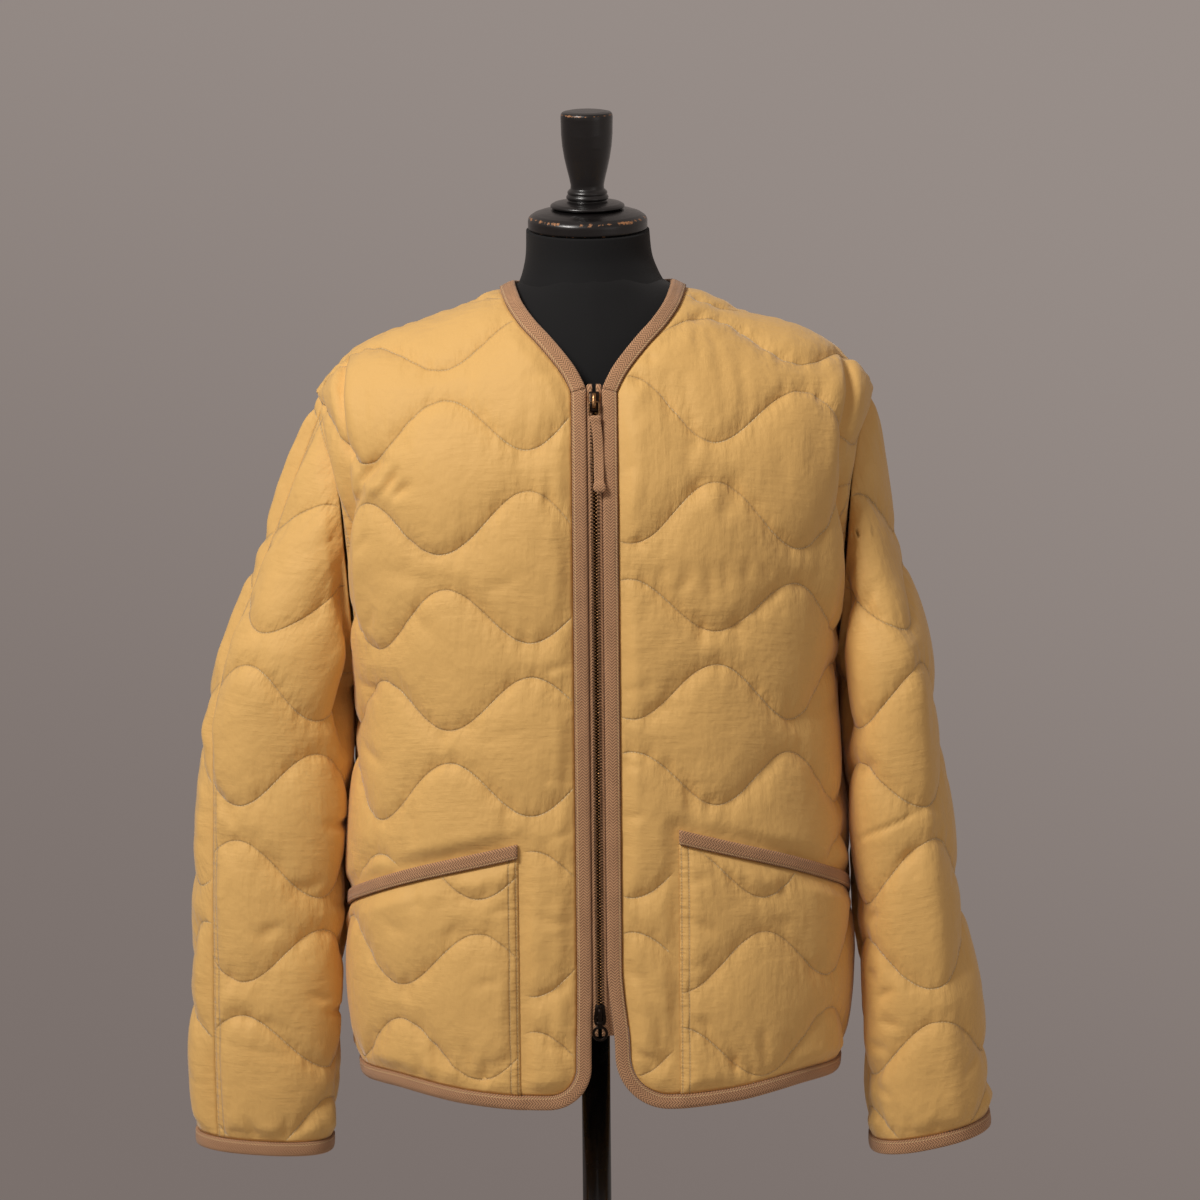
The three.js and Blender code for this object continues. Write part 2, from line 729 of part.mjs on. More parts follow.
// Stations along a free edge: the fold of the tape, and the tape's inner side
function tapeStations(edge, inward, ends = {}) {
  const fold = evenly(edge, EDGE_STEP);
  const inner = moved(fold, inward * TAPE_WIDTH);
  if (ends.first) inner[0] = ends.first(fold[0], inner[0]);
  if (ends.last) inner[inner.length - 1] = ends.last(fold[fold.length - 1], inner[inner.length - 1]);
  return { fold, inner };
}

// Both fronts with their pockets
const hemTapes = {};
for (const half of sides) {
  const { side, name } = half;
  const sleeve = sleeves[name];
  const quilt = quilts["front_" + name];
  const edge = frontEdge(half);
  const atSide = (_, inner) => flat(SIDE, inner.y);
  const onShoulder = (fold, inner) => {
    const round = inner.x;
    return flat(round, shoulderTop(round));
  };
  const corner = edge.rest[0];
  const slant = edge.neck[edge.neck.length - 1].clone().sub(edge.neck[edge.neck.length - 3]).normalize();
  const mitre = flat(1 - slant.y, slant.x).normalize();
  mitre.multiplyScalar(TAPE_WIDTH / mitre.x);
  const atMitre = (gap) => () => flat(corner.x + mitre.x, corner.y + mitre.y + gap);
  const neckTape = tapeStations(edge.neck, 1, { first: onShoulder, last: atMitre(SEAM) });
  const restTape = tapeStations(edge.rest, 1, { first: atMitre(0), last: atSide });
  hemTapes[name] = { neckTape, restTape };

  // The cloth starts one seam beyond the tape
  const beyond = [...neckTape.inner, ...restTape.inner.slice(1)];
  const cut = moved(beyond, SEAM);
  cut[0] = flat(cut[0].x, shoulderTop(cut[0].x) - SEAM / 2);
  cut[cut.length - 1] = flat(SIDE - SEAM / 2, cut[cut.length - 1].y);

  // The pocket's inner side and the height of its opening at the side seam
  const pocketTop = (round) => column(pocketRows[name], "round", "level", round) - SHOULDER_START;
  const foot = cut.findIndex((p, i) => i > cut.length / 2 && p.x > POCKET_INNER && p.y < pocketTop(POCKET_INNER));
  cut[foot] = flat(POCKET_INNER, cut[foot].y);
  const sideUp = upAt(SIDE, ARMHOLE_LEVEL - ARMHOLE_HALF_HEIGHT);
  const mouth = pocketTop(SIDE) - TAPE_WIDTH;
  const seamLow = evenly([cut[cut.length - 1], flat(SIDE - SEAM / 2, mouth)], EDGE_STEP).slice(1);
  const seamMiddle = flat(SIDE - SEAM / 2, mouth + TAPE_WIDTH);
  const seamHigh = evenly([seamMiddle, flat(SIDE - SEAM / 2, sideUp)], EDGE_STEP).slice(0, -1);
  const shoulder = evenly(
    curve(40, (t) => {
      const round = lerp(SIDE - 0.01, cut[0].x, t);
      return flat(round, shoulderTop(round) - SEAM / 2);
    }),
    EDGE_STEP,
  ).slice(1, -1);
  const armhole = armholeRun(sleeve, 0, 0.5, false).reverse();
  const plain = [...cut, ...seamLow, ...seamHigh];
  const outline = [
    ...plain.map((p) => mirrored(side, p)),
    ...armhole,
    ...shoulder.map((p) => mirrored(side, p)),
  ];

  // Pocket outline, shared with the front's own points
  const lowRun = cut.slice(foot);
  const top = evenly(
    curve(40, (t) => {
      const round = lerp(SIDE - SEAM / 2, POCKET_INNER, t);
      return flat(round, pocketTop(round) - TAPE_WIDTH);
    }),
    EDGE_STEP,
  );
  const innerSide = evenly([top[top.length - 1], cut[foot]], EDGE_STEP).slice(1, -1);
  const pocket = [...lowRun, ...seamLow, ...top.slice(1), ...innerSide].map((p) => mirrored(side, p));
  const mouthTop = top.map((p) => mirrored(side, flat(p.x, p.y + TAPE_WIDTH)));
  const patch = [...pocket.slice(0, lowRun.length + seamLow.length), ...mouthTop];
  const area = patch.reduce((sum, a, i) => sum + a.cross(patch[(i + 1) % patch.length]), 0);
  const covered = area > 0 ? patch : [...patch].reverse();
  const pocketQuilt = quilts["pocket_" + name];
  const pocketStitches = stitchPoints(pocket, pocketQuilt, STITCH_APART);
  const pocketPoints = [...pocketStitches, ...gridPoints(pocket, FILL_STEP, pocketStitches, FILL_APART)];

  const shared = [...top.slice(1).map((p) => mirrored(side, p)), ...innerSide.map((p) => mirrored(side, p))];
  const fixed = [...shared, ...pocketPoints, ...mouthTop.slice(1)];
  const stitches = stitchPoints(outline, quilt, STITCH_APART).filter(
    (p) => !inside(covered, p) && edgeDistance(covered, p) > STITCH_APART,
  );
  const taken = [...fixed, ...stitches];
  const fill = gridPoints(outline, FILL_STEP, taken, FILL_APART).filter((p) => !inside(covered, p));
  const nearEdge = (p) => smoothstep(edgeDistance(outline, p), 0, QUILT_EDGE);
  const nearPocket = (p) => (inside(covered, p) ? 0 : smoothstep(edgeDistance(covered, p), 0, QUILT_EDGE));
  group.add(
    clothPanel({
      name: "front_" + name,
      outline,
      place: bodyPlace,
      rise: (p) => quiltRise(quilt, p.x, p.y) * nearEdge(p) * nearPocket(p),
      points: [...taken, ...fill],
      insidePoints: insideGrid(outline),
    }),
  );

  // What lies on the front is made from its points, moved out
  const pocketBase = SEAM + POCKET_WALL;
  const pocketPlace = (s, h) => bodyPlace(s, h).addScaledVector(outward(bodyPlace, s, h), pocketBase);
  group.add(
    clothPanel({
      name: "pocket_" + name,
      outline: pocket,
      place: pocketPlace,
      wall: POCKET_WALL,
      rise: (p) => quiltRise(pocketQuilt, p.x, p.y) * smoothstep(edgeDistance(pocket, p), 0, QUILT_EDGE),
      points: pocketPoints,
      insidePoints: pocketPoints,
    }),
  );
  const mouthSections = top.map((p, i) => {
    const low = mirrored(side, flat(p.x, p.y + SEAM));
    return tapeSection(bodyPlace, mouthTop[i], low, SEAM + TAPE_THICKNESS - 0.6, SEAM + 0.1);
  });
  group.add(band("pocket_binding_" + name, mouthSections, colours.tape));
}

// Inner points, closer together near the shoulder where the cloth bends most
function insideGrid(outline) {
  const wide = gridPoints(outline, INSIDE_STEP, [], INSIDE_APART).filter((p) => p.y < INSIDE_SHOULDER_UP);
  const close = gridPoints(outline, INSIDE_SHOULDER_STEP, wide, INSIDE_SHOULDER_APART).filter(
    (p) => p.y >= INSIDE_SHOULDER_UP,
  );
  return [...wide, ...close];
}

// Back, one piece from side seam to side seam
const backHem = evenly(
  curve(80, (t) => {
    const round = lerp(SIDE, 3 * SIDE, t);
    return flat(round, column(hemRows, "round", "level", Math.min(round, 4 * SIDE - round)) - SHOULDER_START);
  }),
  EDGE_STEP,
);
const backNeck = evenly(
  curve(80, (t) => {
    const turn = Math.PI * t;
    const out = NECK_HALF_WIDTH * Math.cos(turn);
    const round = roundAt(Math.abs(out), 0);
    const arc = shoulderArc(bodyAngle(round));
    const up = Math.acos(clamp((NECK_BACK_DEPTH * Math.sin(turn)) / arc.depth, 0, 1)) * arc.length;
    return flat(2 * SIDE - Math.sign(out) * round, up);
  }),
  EDGE_STEP,
);
const backHemInner = moved(backHem, TAPE_WIDTH);
backHemInner[0].x = SIDE;
backHemInner[backHemInner.length - 1].x = 3 * SIDE;
const backNeckInner = moved(backNeck, -TAPE_WIDTH);
for (const end of [0, backNeckInner.length - 1]) {
  backNeckInner[end].y = shoulderTop(backNeckInner[end].x);
}
{
  const hemCut = moved(backHemInner, SEAM);
  hemCut[0].x = SIDE + SEAM / 2;
  hemCut[hemCut.length - 1].x = 3 * SIDE - SEAM / 2;
  const neckCut = moved(backNeckInner, -SEAM);
  for (const end of [0, neckCut.length - 1]) {
    neckCut[end].y = shoulderTop(neckCut[end].x) - SEAM / 2;
  }
  const sideUp = upAt(SIDE, ARMHOLE_LEVEL - ARMHOLE_HALF_HEIGHT);
  const seam = (s, from, to) => evenly([flat(s, from), flat(s, to)], EDGE_STEP).slice(1, -1);
  const shoulderRun = (from, to) =>
    evenly(
      curve(40, (t) => {
        const round = lerp(from, to, t);
        return flat(round, shoulderTop(round) - SEAM / 2);
      }),
      EDGE_STEP,
    ).slice(1, -1);
  const roundBack = (p) => Object.assign(flat(4 * SIDE + p.x, p.y), { at: p.at, out: p.out });
  const rightArmhole = armholeRun(sleeves.right, 0.5, 1, false).reverse();
  const leftArmhole = armholeRun(sleeves.left, 0.5, 1, false).map(roundBack);
  const neckRight = neckCut[0];
  const neckLeft = neckCut[neckCut.length - 1];
  const outline = [
    ...hemCut,
    ...seam(3 * SIDE - SEAM / 2, hemCut[hemCut.length - 1].y, sideUp),
    ...leftArmhole,
    ...shoulderRun(3 * SIDE - 0.01, neckLeft.x),
    ...[...neckCut].reverse(),
    ...shoulderRun(neckRight.x, SIDE + 0.01),
    ...rightArmhole,
    ...seam(SIDE + SEAM / 2, sideUp, hemCut[0].y),
  ];
  const stitches = stitchPoints(outline, quilts.back, STITCH_APART);
  const fill = gridPoints(outline, FILL_STEP, stitches, FILL_APART);
  group.add(
    clothPanel({
      name: "back",
      outline,
      place: bodyPlace,
      rise: (p) => quiltRise(quilts.back, p.x, p.y) * smoothstep(edgeDistance(outline, p), 0, QUILT_EDGE),
      points: [...stitches, ...fill],
      insidePoints: insideGrid(outline),
    }),
  );
}

// Sleeves: front and back pieces between the outer seam and the underarm seam
for (const [name, sleeve] of Object.entries(sleeves)) {
  const quilt = quilts["sleeve_" + name];
  const place = sleeveSurface(sleeve);
  const shareOfSeam = (part) => lerp(sleeve.seamAtCuff, sleeve.seamAtArmhole, smoothstep(part, 0.2, 1));

  // A seam from cuff tape to armhole, drawn in by half a seam towards the piece
  const seamRun = (shareAt, towards) => {
    const top = sleeveLine(sleeve, shareAt(1)).length;
    const bottom = TAPE_WIDTH + SEAM;
    const dense = curve(60, (t) => {
      const share = shareAt(t);
      const up = lerp(bottom, sleeveLine(sleeve, share).length - 2, t);
      return flat(sleeveAcross(sleeve, share, up) - (sleeve.side * towards * SEAM) / 2, up);
    });
    return evenly(dense, EDGE_STEP).slice(0, Math.round(top / EDGE_STEP) - 1);
  };
  const pieces = [
    { piece: "front", from: shareOfSeam, to: () => 0.5 },
    { piece: "back", from: () => 0.5, to: (part) => 1 + shareOfSeam(part) },
  ];
  for (const { piece, from, to } of pieces) {
    const cuff = evenly(
      curve(40, (t) => {
        const share = lerp(from(0), to(0), t);
        const up = TAPE_WIDTH + SEAM;
        const draw = (t === 0 ? 1 : t === 1 ? -1 : 0) * (SEAM / 2);
        return flat(sleeveAcross(sleeve, share, up) - sleeve.side * draw, up);
      }),
      EDGE_STEP,
    );
    const start = seamRun(from, 1).slice(1);
    const end = seamRun(to, -1).slice(1);
    const armhole = armholeRun(sleeve, from(1), to(1), true);
    const outline = [...cuff, ...end, ...armhole.reverse(), ...start.reverse()];
    const stitches = stitchPoints(outline, quilt, STITCH_APART);
    const fill = gridPoints(outline, FILL_STEP, stitches, FILL_APART);
    group.add(
      clothPanel({
        name: "sleeve_" + name + "_" + piece,
        outline,
        place,
        rise: (p) => quiltRise(quilt, p.x, p.y) * smoothstep(edgeDistance(outline, p), 0, QUILT_EDGE),
        points: [...stitches, ...fill],
        insidePoints: gridPoints(outline, INSIDE_SLEEVE_STEP, [], INSIDE_SLEEVE_APART),
      }),
    );
  }

  // Cuff tape, a closed ring
  const stations = 26;
  const cuffTape = Array.from({ length: stations }, (_, i) => {
    const share = i / stations;
    const fold = flat(sleeveAcross(sleeve, share, 0), 0);
    const inner = flat(sleeveAcross(sleeve, share, TAPE_WIDTH), TAPE_WIDTH);
    return tapeSection(place, fold, inner, TAPE_PROUD, TAPE_PROUD - TAPE_THICKNESS);
  });
  group.add(band("cuff_binding_" + name, cuffTape, colours.tape, 0.85, 0, true));
}

// One tape round the neck, another down the fronts and round the hem
const tapeHeights = (s) => {
  const round = Math.min(Math.abs(s), Math.abs(4 * SIDE - Math.abs(s)));
  const onPocket = smoothstep(round, POCKET_INNER - 8, POCKET_INNER + 2) * (s <= SIDE + 1 ? 1 : 0);
  return { low: TAPE_PROUD - TAPE_THICKNESS, lift: (SEAM + POCKET_WALL) * onPocket };
};
function tapeRun(name, runs) {
  const sections = runs.flatMap(({ fold, inner, onHem }) =>
    fold.map((p, i) => {
      const { low, lift } = tapeHeights(p.x);
      return tapeSection(bodyPlace, p, inner[i], TAPE_PROUD + (onHem && p.y < -400 ? lift : 0), low);
    }),
  );
  group.add(band(name, sections, colours.tape));
}
const onSide = (side, { fold, inner }) => ({
  fold: fold.map((p) => mirrored(side, p)),
  inner: inner.map((p) => mirrored(side, p)),
});
const backwards = ({ fold, inner }) => ({ fold: [...fold].reverse(), inner: [...inner].reverse() });
const within = ({ fold, inner }) => ({ fold: fold.slice(1, -1), inner: inner.slice(1, -1) });
const { left: leftTapes, right: rightTapes } = hemTapes;
tapeRun("neck_binding", [
  backwards(onSide(-1, leftTapes.neckTape)),
  backwards(within({ fold: backNeck, inner: backNeckInner })),
  onSide(1, rightTapes.neckTape),
]);
tapeRun("front_hem_binding", [
  { ...onSide(-1, leftTapes.restTape), onHem: true },
  backwards(within({ fold: backHem, inner: backHemInner })),
  { ...backwards(onSide(1, rightTapes.restTape)), onHem: true },
]);

// Zip: tapes behind the fronts' edges, the closed chain, and a slider with a pull at each end
const chainLow = TAPE_PROUD - TAPE_THICKNESS;
const tapeFace = chainLow - SEAM - 0.15;
const flatSection = (up, from, to, high, low) => {
  const at = (s, height) => bodyPlace(s, up).addScaledVector(outward(bodyPlace, s, up), height);
  return [at(from, high), at(from, low), at(to, low), at(to, high)];
};
const zipTop = upAt(0, ZIP_TOP - 6);
const zipBottom = ZIP_BOTTOM - SHOULDER_START;
const stretch = (top, bottom, step) => {
  const count = Math.round((top - bottom) / step);
  return curve(count, (t) => lerp(top, bottom, t));
};
for (const { side, name } of sides) {
  const sections = stretch(zipTop, zipBottom - 10, 26).map((up) =>
    flatSection(up, side * ZIP_TAPE_INNER, side * ZIP_TAPE_OUTER, tapeFace, tapeFace - ZIP_TAPE_WALL),
  );
  group.add(band("zip_tape_" + name, sections, colours.tape));
}
const SLIDER_LENGTH = 17;
const chainTop = zipTop - SLIDER_LENGTH - SEAM;
const chainBottom = zipBottom + SLIDER_LENGTH + SEAM;
const chain = stretch(chainTop, chainBottom, 26).map((up) =>
  flatSection(up, -CHAIN_WIDTH / 2, CHAIN_WIDTH / 2, chainLow + CHAIN_THICKNESS, chainLow),
);
group.add(band("zip_chain", chain, colours.metal, 0.4, 0.8));

// A frame on the zip: X across, Y out of the cloth, Z up the zip
function zipFrame(up, lift) {
  const frame = new THREE.Group();
  const out = outward(bodyPlace, 0, up);
  frame.position.copy(bodyPlace(0, up).addScaledVector(out, lift));
  frame.rotation.x = -Math.atan2(out.z, -out.y);
  return frame;
}

const SLIDER_HEIGHT = 5.4;
const BRIDGE_HEIGHT = 4.4;
const PIN_HEIGHT = 2;
const PIN_DROP = 1.6;
function asManifold(geometry) {
  const bare = geometry.clone();
  bare.deleteAttribute("normal");
  bare.deleteAttribute("uv");
  const merged = mergeVertices(bare, 1e-4);
  const mesh = new wasm.Mesh({
    numProp: 3,
    vertProperties: new Float32Array(merged.attributes.position.array),
    triVerts: new Uint32Array(merged.index.array),
  });
  return new wasm.Manifold(mesh);
}

function asGeometry(body) {
  const mesh = body.getMesh();
  const geometry = new THREE.BufferGeometry();
  geometry.setAttribute("position", new THREE.BufferAttribute(mesh.vertProperties, 3));
  geometry.setIndex(new THREE.BufferAttribute(mesh.triVerts, 1));
  geometry.computeVertexNormals();
  return geometry;
}

// Plate between two depths, its outline seen from the front
function plate(outline, front, back, hole) {
  const shape = new THREE.Shape(outline);
  if (hole) shape.holes.push(new THREE.Path(hole));
  const geometry = new THREE.ExtrudeGeometry(shape, { depth: front - back, bevelEnabled: false });
  return geometry.rotateX(Math.PI / 2).translate(0, -back, 0);
}

// Slider: a body that narrows towards the chain, and a bridge that the pull's pin passes under
function slider(name, up, flip) {
  const half = SLIDER_LENGTH / 2;
  const outline = [
    flat(-3.6, -half * flip),
    flat(3.6, -half * flip),
    flat(5.2, 3 * flip),
    flat(4.4, half * flip),
    flat(-4.4, half * flip),
    flat(-5.2, 3 * flip),
  ];
  const body = plate(outline, SLIDER_HEIGHT, 0);
  const side = [flat(-6.5, -0.4), flat(6.5, -0.4), flat(5, BRIDGE_HEIGHT), flat(-5, BRIDGE_HEIGHT)];
  const gap = [flat(-4, 0.5), flat(-3.4, 3.4), flat(3.4, 3.4), flat(4, 0.5)];
  const bridge = plate(side, 1.4, -1.4, gap).rotateZ(Math.PI / 2).rotateX(Math.PI / 2);
  bridge.translate(0, -SLIDER_HEIGHT, 0);
  const frame = zipFrame(up, chainLow);
  frame.add(named(name, asGeometry(asManifold(body).add(asManifold(bridge))), colours.metal, 0.4, 0.8));
  group.add(frame);
  return frame;
}
const topSlider = slider("zip_slider_top", zipTop - SLIDER_LENGTH / 2, 1);
const bottomSlider = slider("zip_slider_bottom", zipBottom + SLIDER_LENGTH / 2, -1);

// A pull hangs from a pin under its slider's bridge, along the cloth below
function pullFrame(sliderFrame, reach, lift) {
  const frame = new THREE.Group();
  sliderFrame.updateMatrixWorld();
  frame.position.set(0, -SLIDER_HEIGHT - PIN_HEIGHT, -PIN_DROP).applyMatrix4(sliderFrame.matrixWorld);
  const up = frame.position.z - NECK_HEIGHT - SHOULDER_START - reach;
  const foot = bodyPlace(0, up).addScaledVector(outward(bodyPlace, 0, up), lift);
  const along = foot.sub(frame.position);
  frame.rotation.x = Math.atan2(along.y, -along.z);
  group.add(frame);
  return frame;
}
const arc = (x, z, radius, from, to, count) =>
  curve(count, (t) => {
    const angle = degToRad(lerp(from, to, t));
    return flat(x + radius * Math.cos(angle), z + radius * Math.sin(angle));
  });

// Top pull: a metal stirrup with a folded tape through it
const topPull = pullFrame(topSlider, 82, 5);
const stirrup = [flat(-4.7, 1), flat(-4.7, -12), flat(4.7, -12), flat(4.7, 1)];
const stirrupGap = [flat(-3.3, -1), flat(3.3, -1), flat(3.3, -10.4), flat(-3.3, -10.4)];
topPull.add(named("zip_pull_top", plate(stirrup, 0.8, -0.8, stirrupGap), colours.metal, 0.4, 0.8));
const loop = [flat(-8.4, -2), flat(-8.4, 2), flat(-16, 2), flat(-16, -2)];
const loopGap = [flat(-10, -1.2), flat(-10, 1.2), flat(-12.4, 1.2), flat(-12.4, -1.2)];
const tapeLoop = plate(loop, 2.9, -2.9, loopGap).rotateZ(Math.PI / 2).rotateX(Math.PI / 2);
const strip = [flat(-5.2, -12.8), flat(-5.2, -70), flat(-3.4, -74), flat(3.4, -74), flat(5.2, -70), flat(5.2, -12.8)];
const pullTape = asManifold(tapeLoop).add(asManifold(plate(strip, 1.1, -1.1)));
topPull.add(named("zip_pull_tape", asGeometry(pullTape), colours.tape));

// Bottom pull: a drop-shaped metal tab with a round hole
const bottomPull = pullFrame(bottomSlider, 24, 4.4);
const drop = [flat(-3.7, 1), ...arc(0, -13, 6.6, 160, 380, 20), flat(3.7, 1)];
const pinGap = [flat(-2.2, -1), flat(2.2, -1), flat(2.2, -5), flat(-2.2, -5)];
const tab = plate(drop, 0.9, -0.9, arc(0, -13, 4.1, 0, 337.5, 15));
const pinRoom = plate(pinGap, 2, -2);
bottomPull.add(
  named("zip_pull_bottom", asGeometry(asManifold(tab).subtract(asManifold(pinRoom))), colours.metal, 0.4, 0.8),
);

// Dress form: a smooth limbless torso that fills the shoulders and stays clear of the rest of the cloth
const formWidth = (level) => column(formRows, "level", "halfWidth", level);
const formDepth = (level) => column(formRows, "level", "halfDepth", level);
function formPlace(index, part) {
  const angle = (2 * Math.PI * index) / FORM_STATIONS;
  const widest = ovalRadius(angle, FORM_WIDTH, formDepth(0), 2.3);
  const out = Math.abs(widest * Math.sin(angle));
  const rest = (CLOTH + SHOULDER_REST) / Math.cos(degToRad(20));
  const ridge = shoulderLevel(out) - rest - 34 * smoothstep(out, 150, FORM_WIDTH) ** 2;
  const bend = clamp((part - 0.55) / 0.45, 0, 1);
  const lean = (bend * Math.PI) / 2;
  const low = lerp(FORM_BOTTOM, SHOULDER_START, Math.min(part / 0.55, 1));
  const level = bend > 0 ? SHOULDER_START + (ridge - SHOULDER_START) * Math.sin(lean) : low;
  const r = ovalRadius(angle, formWidth(level), formDepth(level), 2.3);
  const x = lerp(r, widest, bend) * Math.sin(angle);
  return new THREE.Vector3(x, -r * Math.cos(angle) * Math.cos(lean), NECK_HEIGHT + level);
}
const half = FORM_STATIONS / 2;
const quarter = FORM_STATIONS / 4;
const ridgeIndex = (i) => (i > quarter && i < 3 * quarter ? (FORM_STATIONS + half - i) % FORM_STATIONS : i);
const formCorners = [];
const formTriangles = [];
for (let ring = 0; ring <= FORM_RINGS; ring++) {
  for (let i = 0; i < FORM_STATIONS; i++) formCorners.push(formPlace(i, ring / FORM_RINGS));
}
const formIndex = (ring, i) => ring * FORM_STATIONS + (ring === FORM_RINGS ? ridgeIndex(i) : i);
for (let ring = 0; ring < FORM_RINGS; ring++) {
  for (let i = 0; i < FORM_STATIONS; i++) {
    const next = (i + 1) % FORM_STATIONS;
    const [a, b] = [formIndex(ring, i), formIndex(ring, next)];
    const [c, d] = [formIndex(ring + 1, i), formIndex(ring + 1, next)];
    formTriangles.push([a, b, d], [a, d, c]);
  }
}
for (let i = 1; i < FORM_STATIONS - 1; i++) formTriangles.push([0, i + 1, i]);
for (let i = 0; i < FORM_STATIONS; i++) {
  if (ridgeIndex(i) !== i) formCorners[FORM_RINGS * FORM_STATIONS + i] = formCorners[formIndex(FORM_RINGS, i)];
}
const torso = solid("torso", formCorners, formTriangles, colours.form);

// Neck column that flares into the shoulders; its top leans forward with the cap
const neckRings = [
  { level: -34, halfWidth: 52, halfDepth: 46, lean: 0, shift: 0 },
  { level: -8, halfWidth: 66, halfDepth: 57, lean: 0, shift: 0 },
  { level: 0, halfWidth: 61.5, halfDepth: 56, lean: 1, shift: 0.25 },
  { level: 10, halfWidth: 57, halfDepth: 54, lean: 3, shift: 0.5 },
  { level: 24, halfWidth: 53.5, halfDepth: 52, lean: 6, shift: 0.8 },
  { level: NECK_TOP, halfWidth: NECK_RADIUS, halfDepth: NECK_RADIUS, lean: NECK_LEAN, shift: 1 },
];
const neckSections = neckRings.map(({ level, halfWidth, halfDepth, lean, shift }) =>
  Array.from({ length: 36 }, (_, i) => {
    const angle = (2 * Math.PI * i) / 36;
    const y = halfDepth * Math.sin(angle);
    const z = NECK_HEIGHT + level + y * Math.tan(degToRad(lean));
    return new THREE.Vector3(STAND_SHIFT * shift + halfWidth * Math.cos(angle), y, z);
  }),
);
const neck = band("neck", neckSections, colours.form);
const form = asGeometry(asManifold(torso.geometry).add(asManifold(neck.geometry)));
group.add(named("form_torso", form, colours.form, 0.95));

// Turned pieces: a closed profile of radius and height, spun round the upright axis
function turned(name, profile, colour, segments = 24, roughness = 0.45, metalness = 0) {
  const points = profile.map(([radius, height]) => flat(radius, height));
  const geometry = new THREE.LatheGeometry(points, segments).rotateX(Math.PI / 2);
  return named(name, asGeometry(asManifold(geometry)), colour, roughness, metalness);
}
const head = new THREE.Group();
head.position.set(STAND_SHIFT, 0, NECK_HEIGHT + NECK_TOP + SEAM);
head.rotation.x = degToRad(NECK_LEAN);
group.add(head);
const CAP_THICKNESS = 18;
const capProfile = [
  [0, 0],
  [48.5, 0],
  [50.5, 1.5],
  [50.5, 9],
  [49, 11.5],
  [45, 13.5],
  [36, 16],
  [25, CAP_THICKNESS],
  [0, CAP_THICKNESS],
];
head.add(turned("neck_cap", capProfile, colours.wood));
const finialProfile = [
  [0, 0],
  [31, 0],
  [31.5, 2.5],
  [28, 4.5],
  [16.5, 7],
  [17.7, 11],
  [14.5, 15],
  [13.5, 18],
  [15, 31],
  [18.5, 54],
  [21, 69],
  [21.8, 76],
  [20, 80],
  [0, 81],
];
const finial = turned("finial", finialProfile, colours.wood);
finial.position.z = CAP_THICKNESS + SEAM;
head.add(finial);

// Stand: pole with a collar under the torso, and a plain round foot
const torsoFloor = NECK_HEIGHT + FORM_BOTTOM;
const collarProfile = [
  [POLE_RADIUS + SEAM, 0],
  [20, 0],
  [22, 3],
  [22, 18],
  [38, 21],
  [38, COLLAR_HEIGHT],
  [POLE_RADIUS + SEAM, COLLAR_HEIGHT],
  [POLE_RADIUS + SEAM, 0],
];
const collar = turned("pole_collar", collarProfile, colours.pole, 24, 0.4, 0.6);
collar.position.set(STAND_SHIFT, 0, torsoFloor - COLLAR_HEIGHT - SEAM);
group.add(collar);
const pole = turned(
  "pole",
  [
    [0, 0],
    [POLE_RADIUS, 0],
    [POLE_RADIUS, torsoFloor - FOOT_HUB - 2 * SEAM],
    [0, torsoFloor - FOOT_HUB - 2 * SEAM],
  ],
  colours.pole,
  28,
  0.35,
  0.6,
);
pole.position.set(STAND_SHIFT, 0, FOOT_HUB + SEAM);
group.add(pole);
const baseProfile = [
  [0, 0],
  [BASE_RADIUS - 2, 0],
  [BASE_RADIUS, 2],
  [BASE_RADIUS, BASE_THICKNESS - 4],
  [BASE_RADIUS - 4, BASE_THICKNESS],
  [60, BASE_THICKNESS + 4],
  [24, 22],
  [20, 30],
  [20, FOOT_HUB - 2],
  [18, FOOT_HUB],
  [0, FOOT_HUB],
];
const base = turned("base", baseProfile, colours.pole, 40, 0.4, 0.6);
base.position.x = STAND_SHIFT;
group.add(base);

export default group;
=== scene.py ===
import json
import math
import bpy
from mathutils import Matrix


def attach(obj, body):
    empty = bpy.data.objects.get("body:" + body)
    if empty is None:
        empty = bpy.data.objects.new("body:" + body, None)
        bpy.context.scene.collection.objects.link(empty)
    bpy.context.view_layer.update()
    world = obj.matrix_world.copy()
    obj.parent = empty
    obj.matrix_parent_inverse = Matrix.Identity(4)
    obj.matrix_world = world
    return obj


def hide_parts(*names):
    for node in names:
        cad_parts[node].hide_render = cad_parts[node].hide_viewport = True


bl_info = {
    "name": "Quilted Jacket on a Dress Form",
    "version": (1, 0, 0),
    "blender": (4, 5, 0),
    "location": "View3D > Sidebar > Jacket",
    "description": "Quilted liner jacket with bound edges, worn by a limbless dress form on a pole stand",
    "category": "Object",
}

import bpy
import numpy as np
from mathutils import Matrix, Vector

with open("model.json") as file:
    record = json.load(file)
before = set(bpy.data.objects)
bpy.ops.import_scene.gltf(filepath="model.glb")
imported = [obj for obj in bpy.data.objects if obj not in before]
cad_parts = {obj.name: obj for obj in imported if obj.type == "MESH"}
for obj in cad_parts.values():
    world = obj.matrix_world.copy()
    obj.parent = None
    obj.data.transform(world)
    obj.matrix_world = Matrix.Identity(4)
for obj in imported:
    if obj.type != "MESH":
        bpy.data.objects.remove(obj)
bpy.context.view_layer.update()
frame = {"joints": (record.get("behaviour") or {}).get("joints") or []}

# Lengths in the tables are millimetres. Levels are heights above the neck point.
MM = 0.001
ROOT = "jacket_and_form"
NECK_HEIGHT = 1420
CLOTH = 2.4
SEAM = 0.3
HEM_LEVEL = -674
FRONT_EDGE = 6.3
SHOULDER_START = -200
SHOULDER_WIDTH = 233
BODY_DEPTH = 148
BODY_FULLNESS = 2.6
REFERENCE_WIDTH = 212
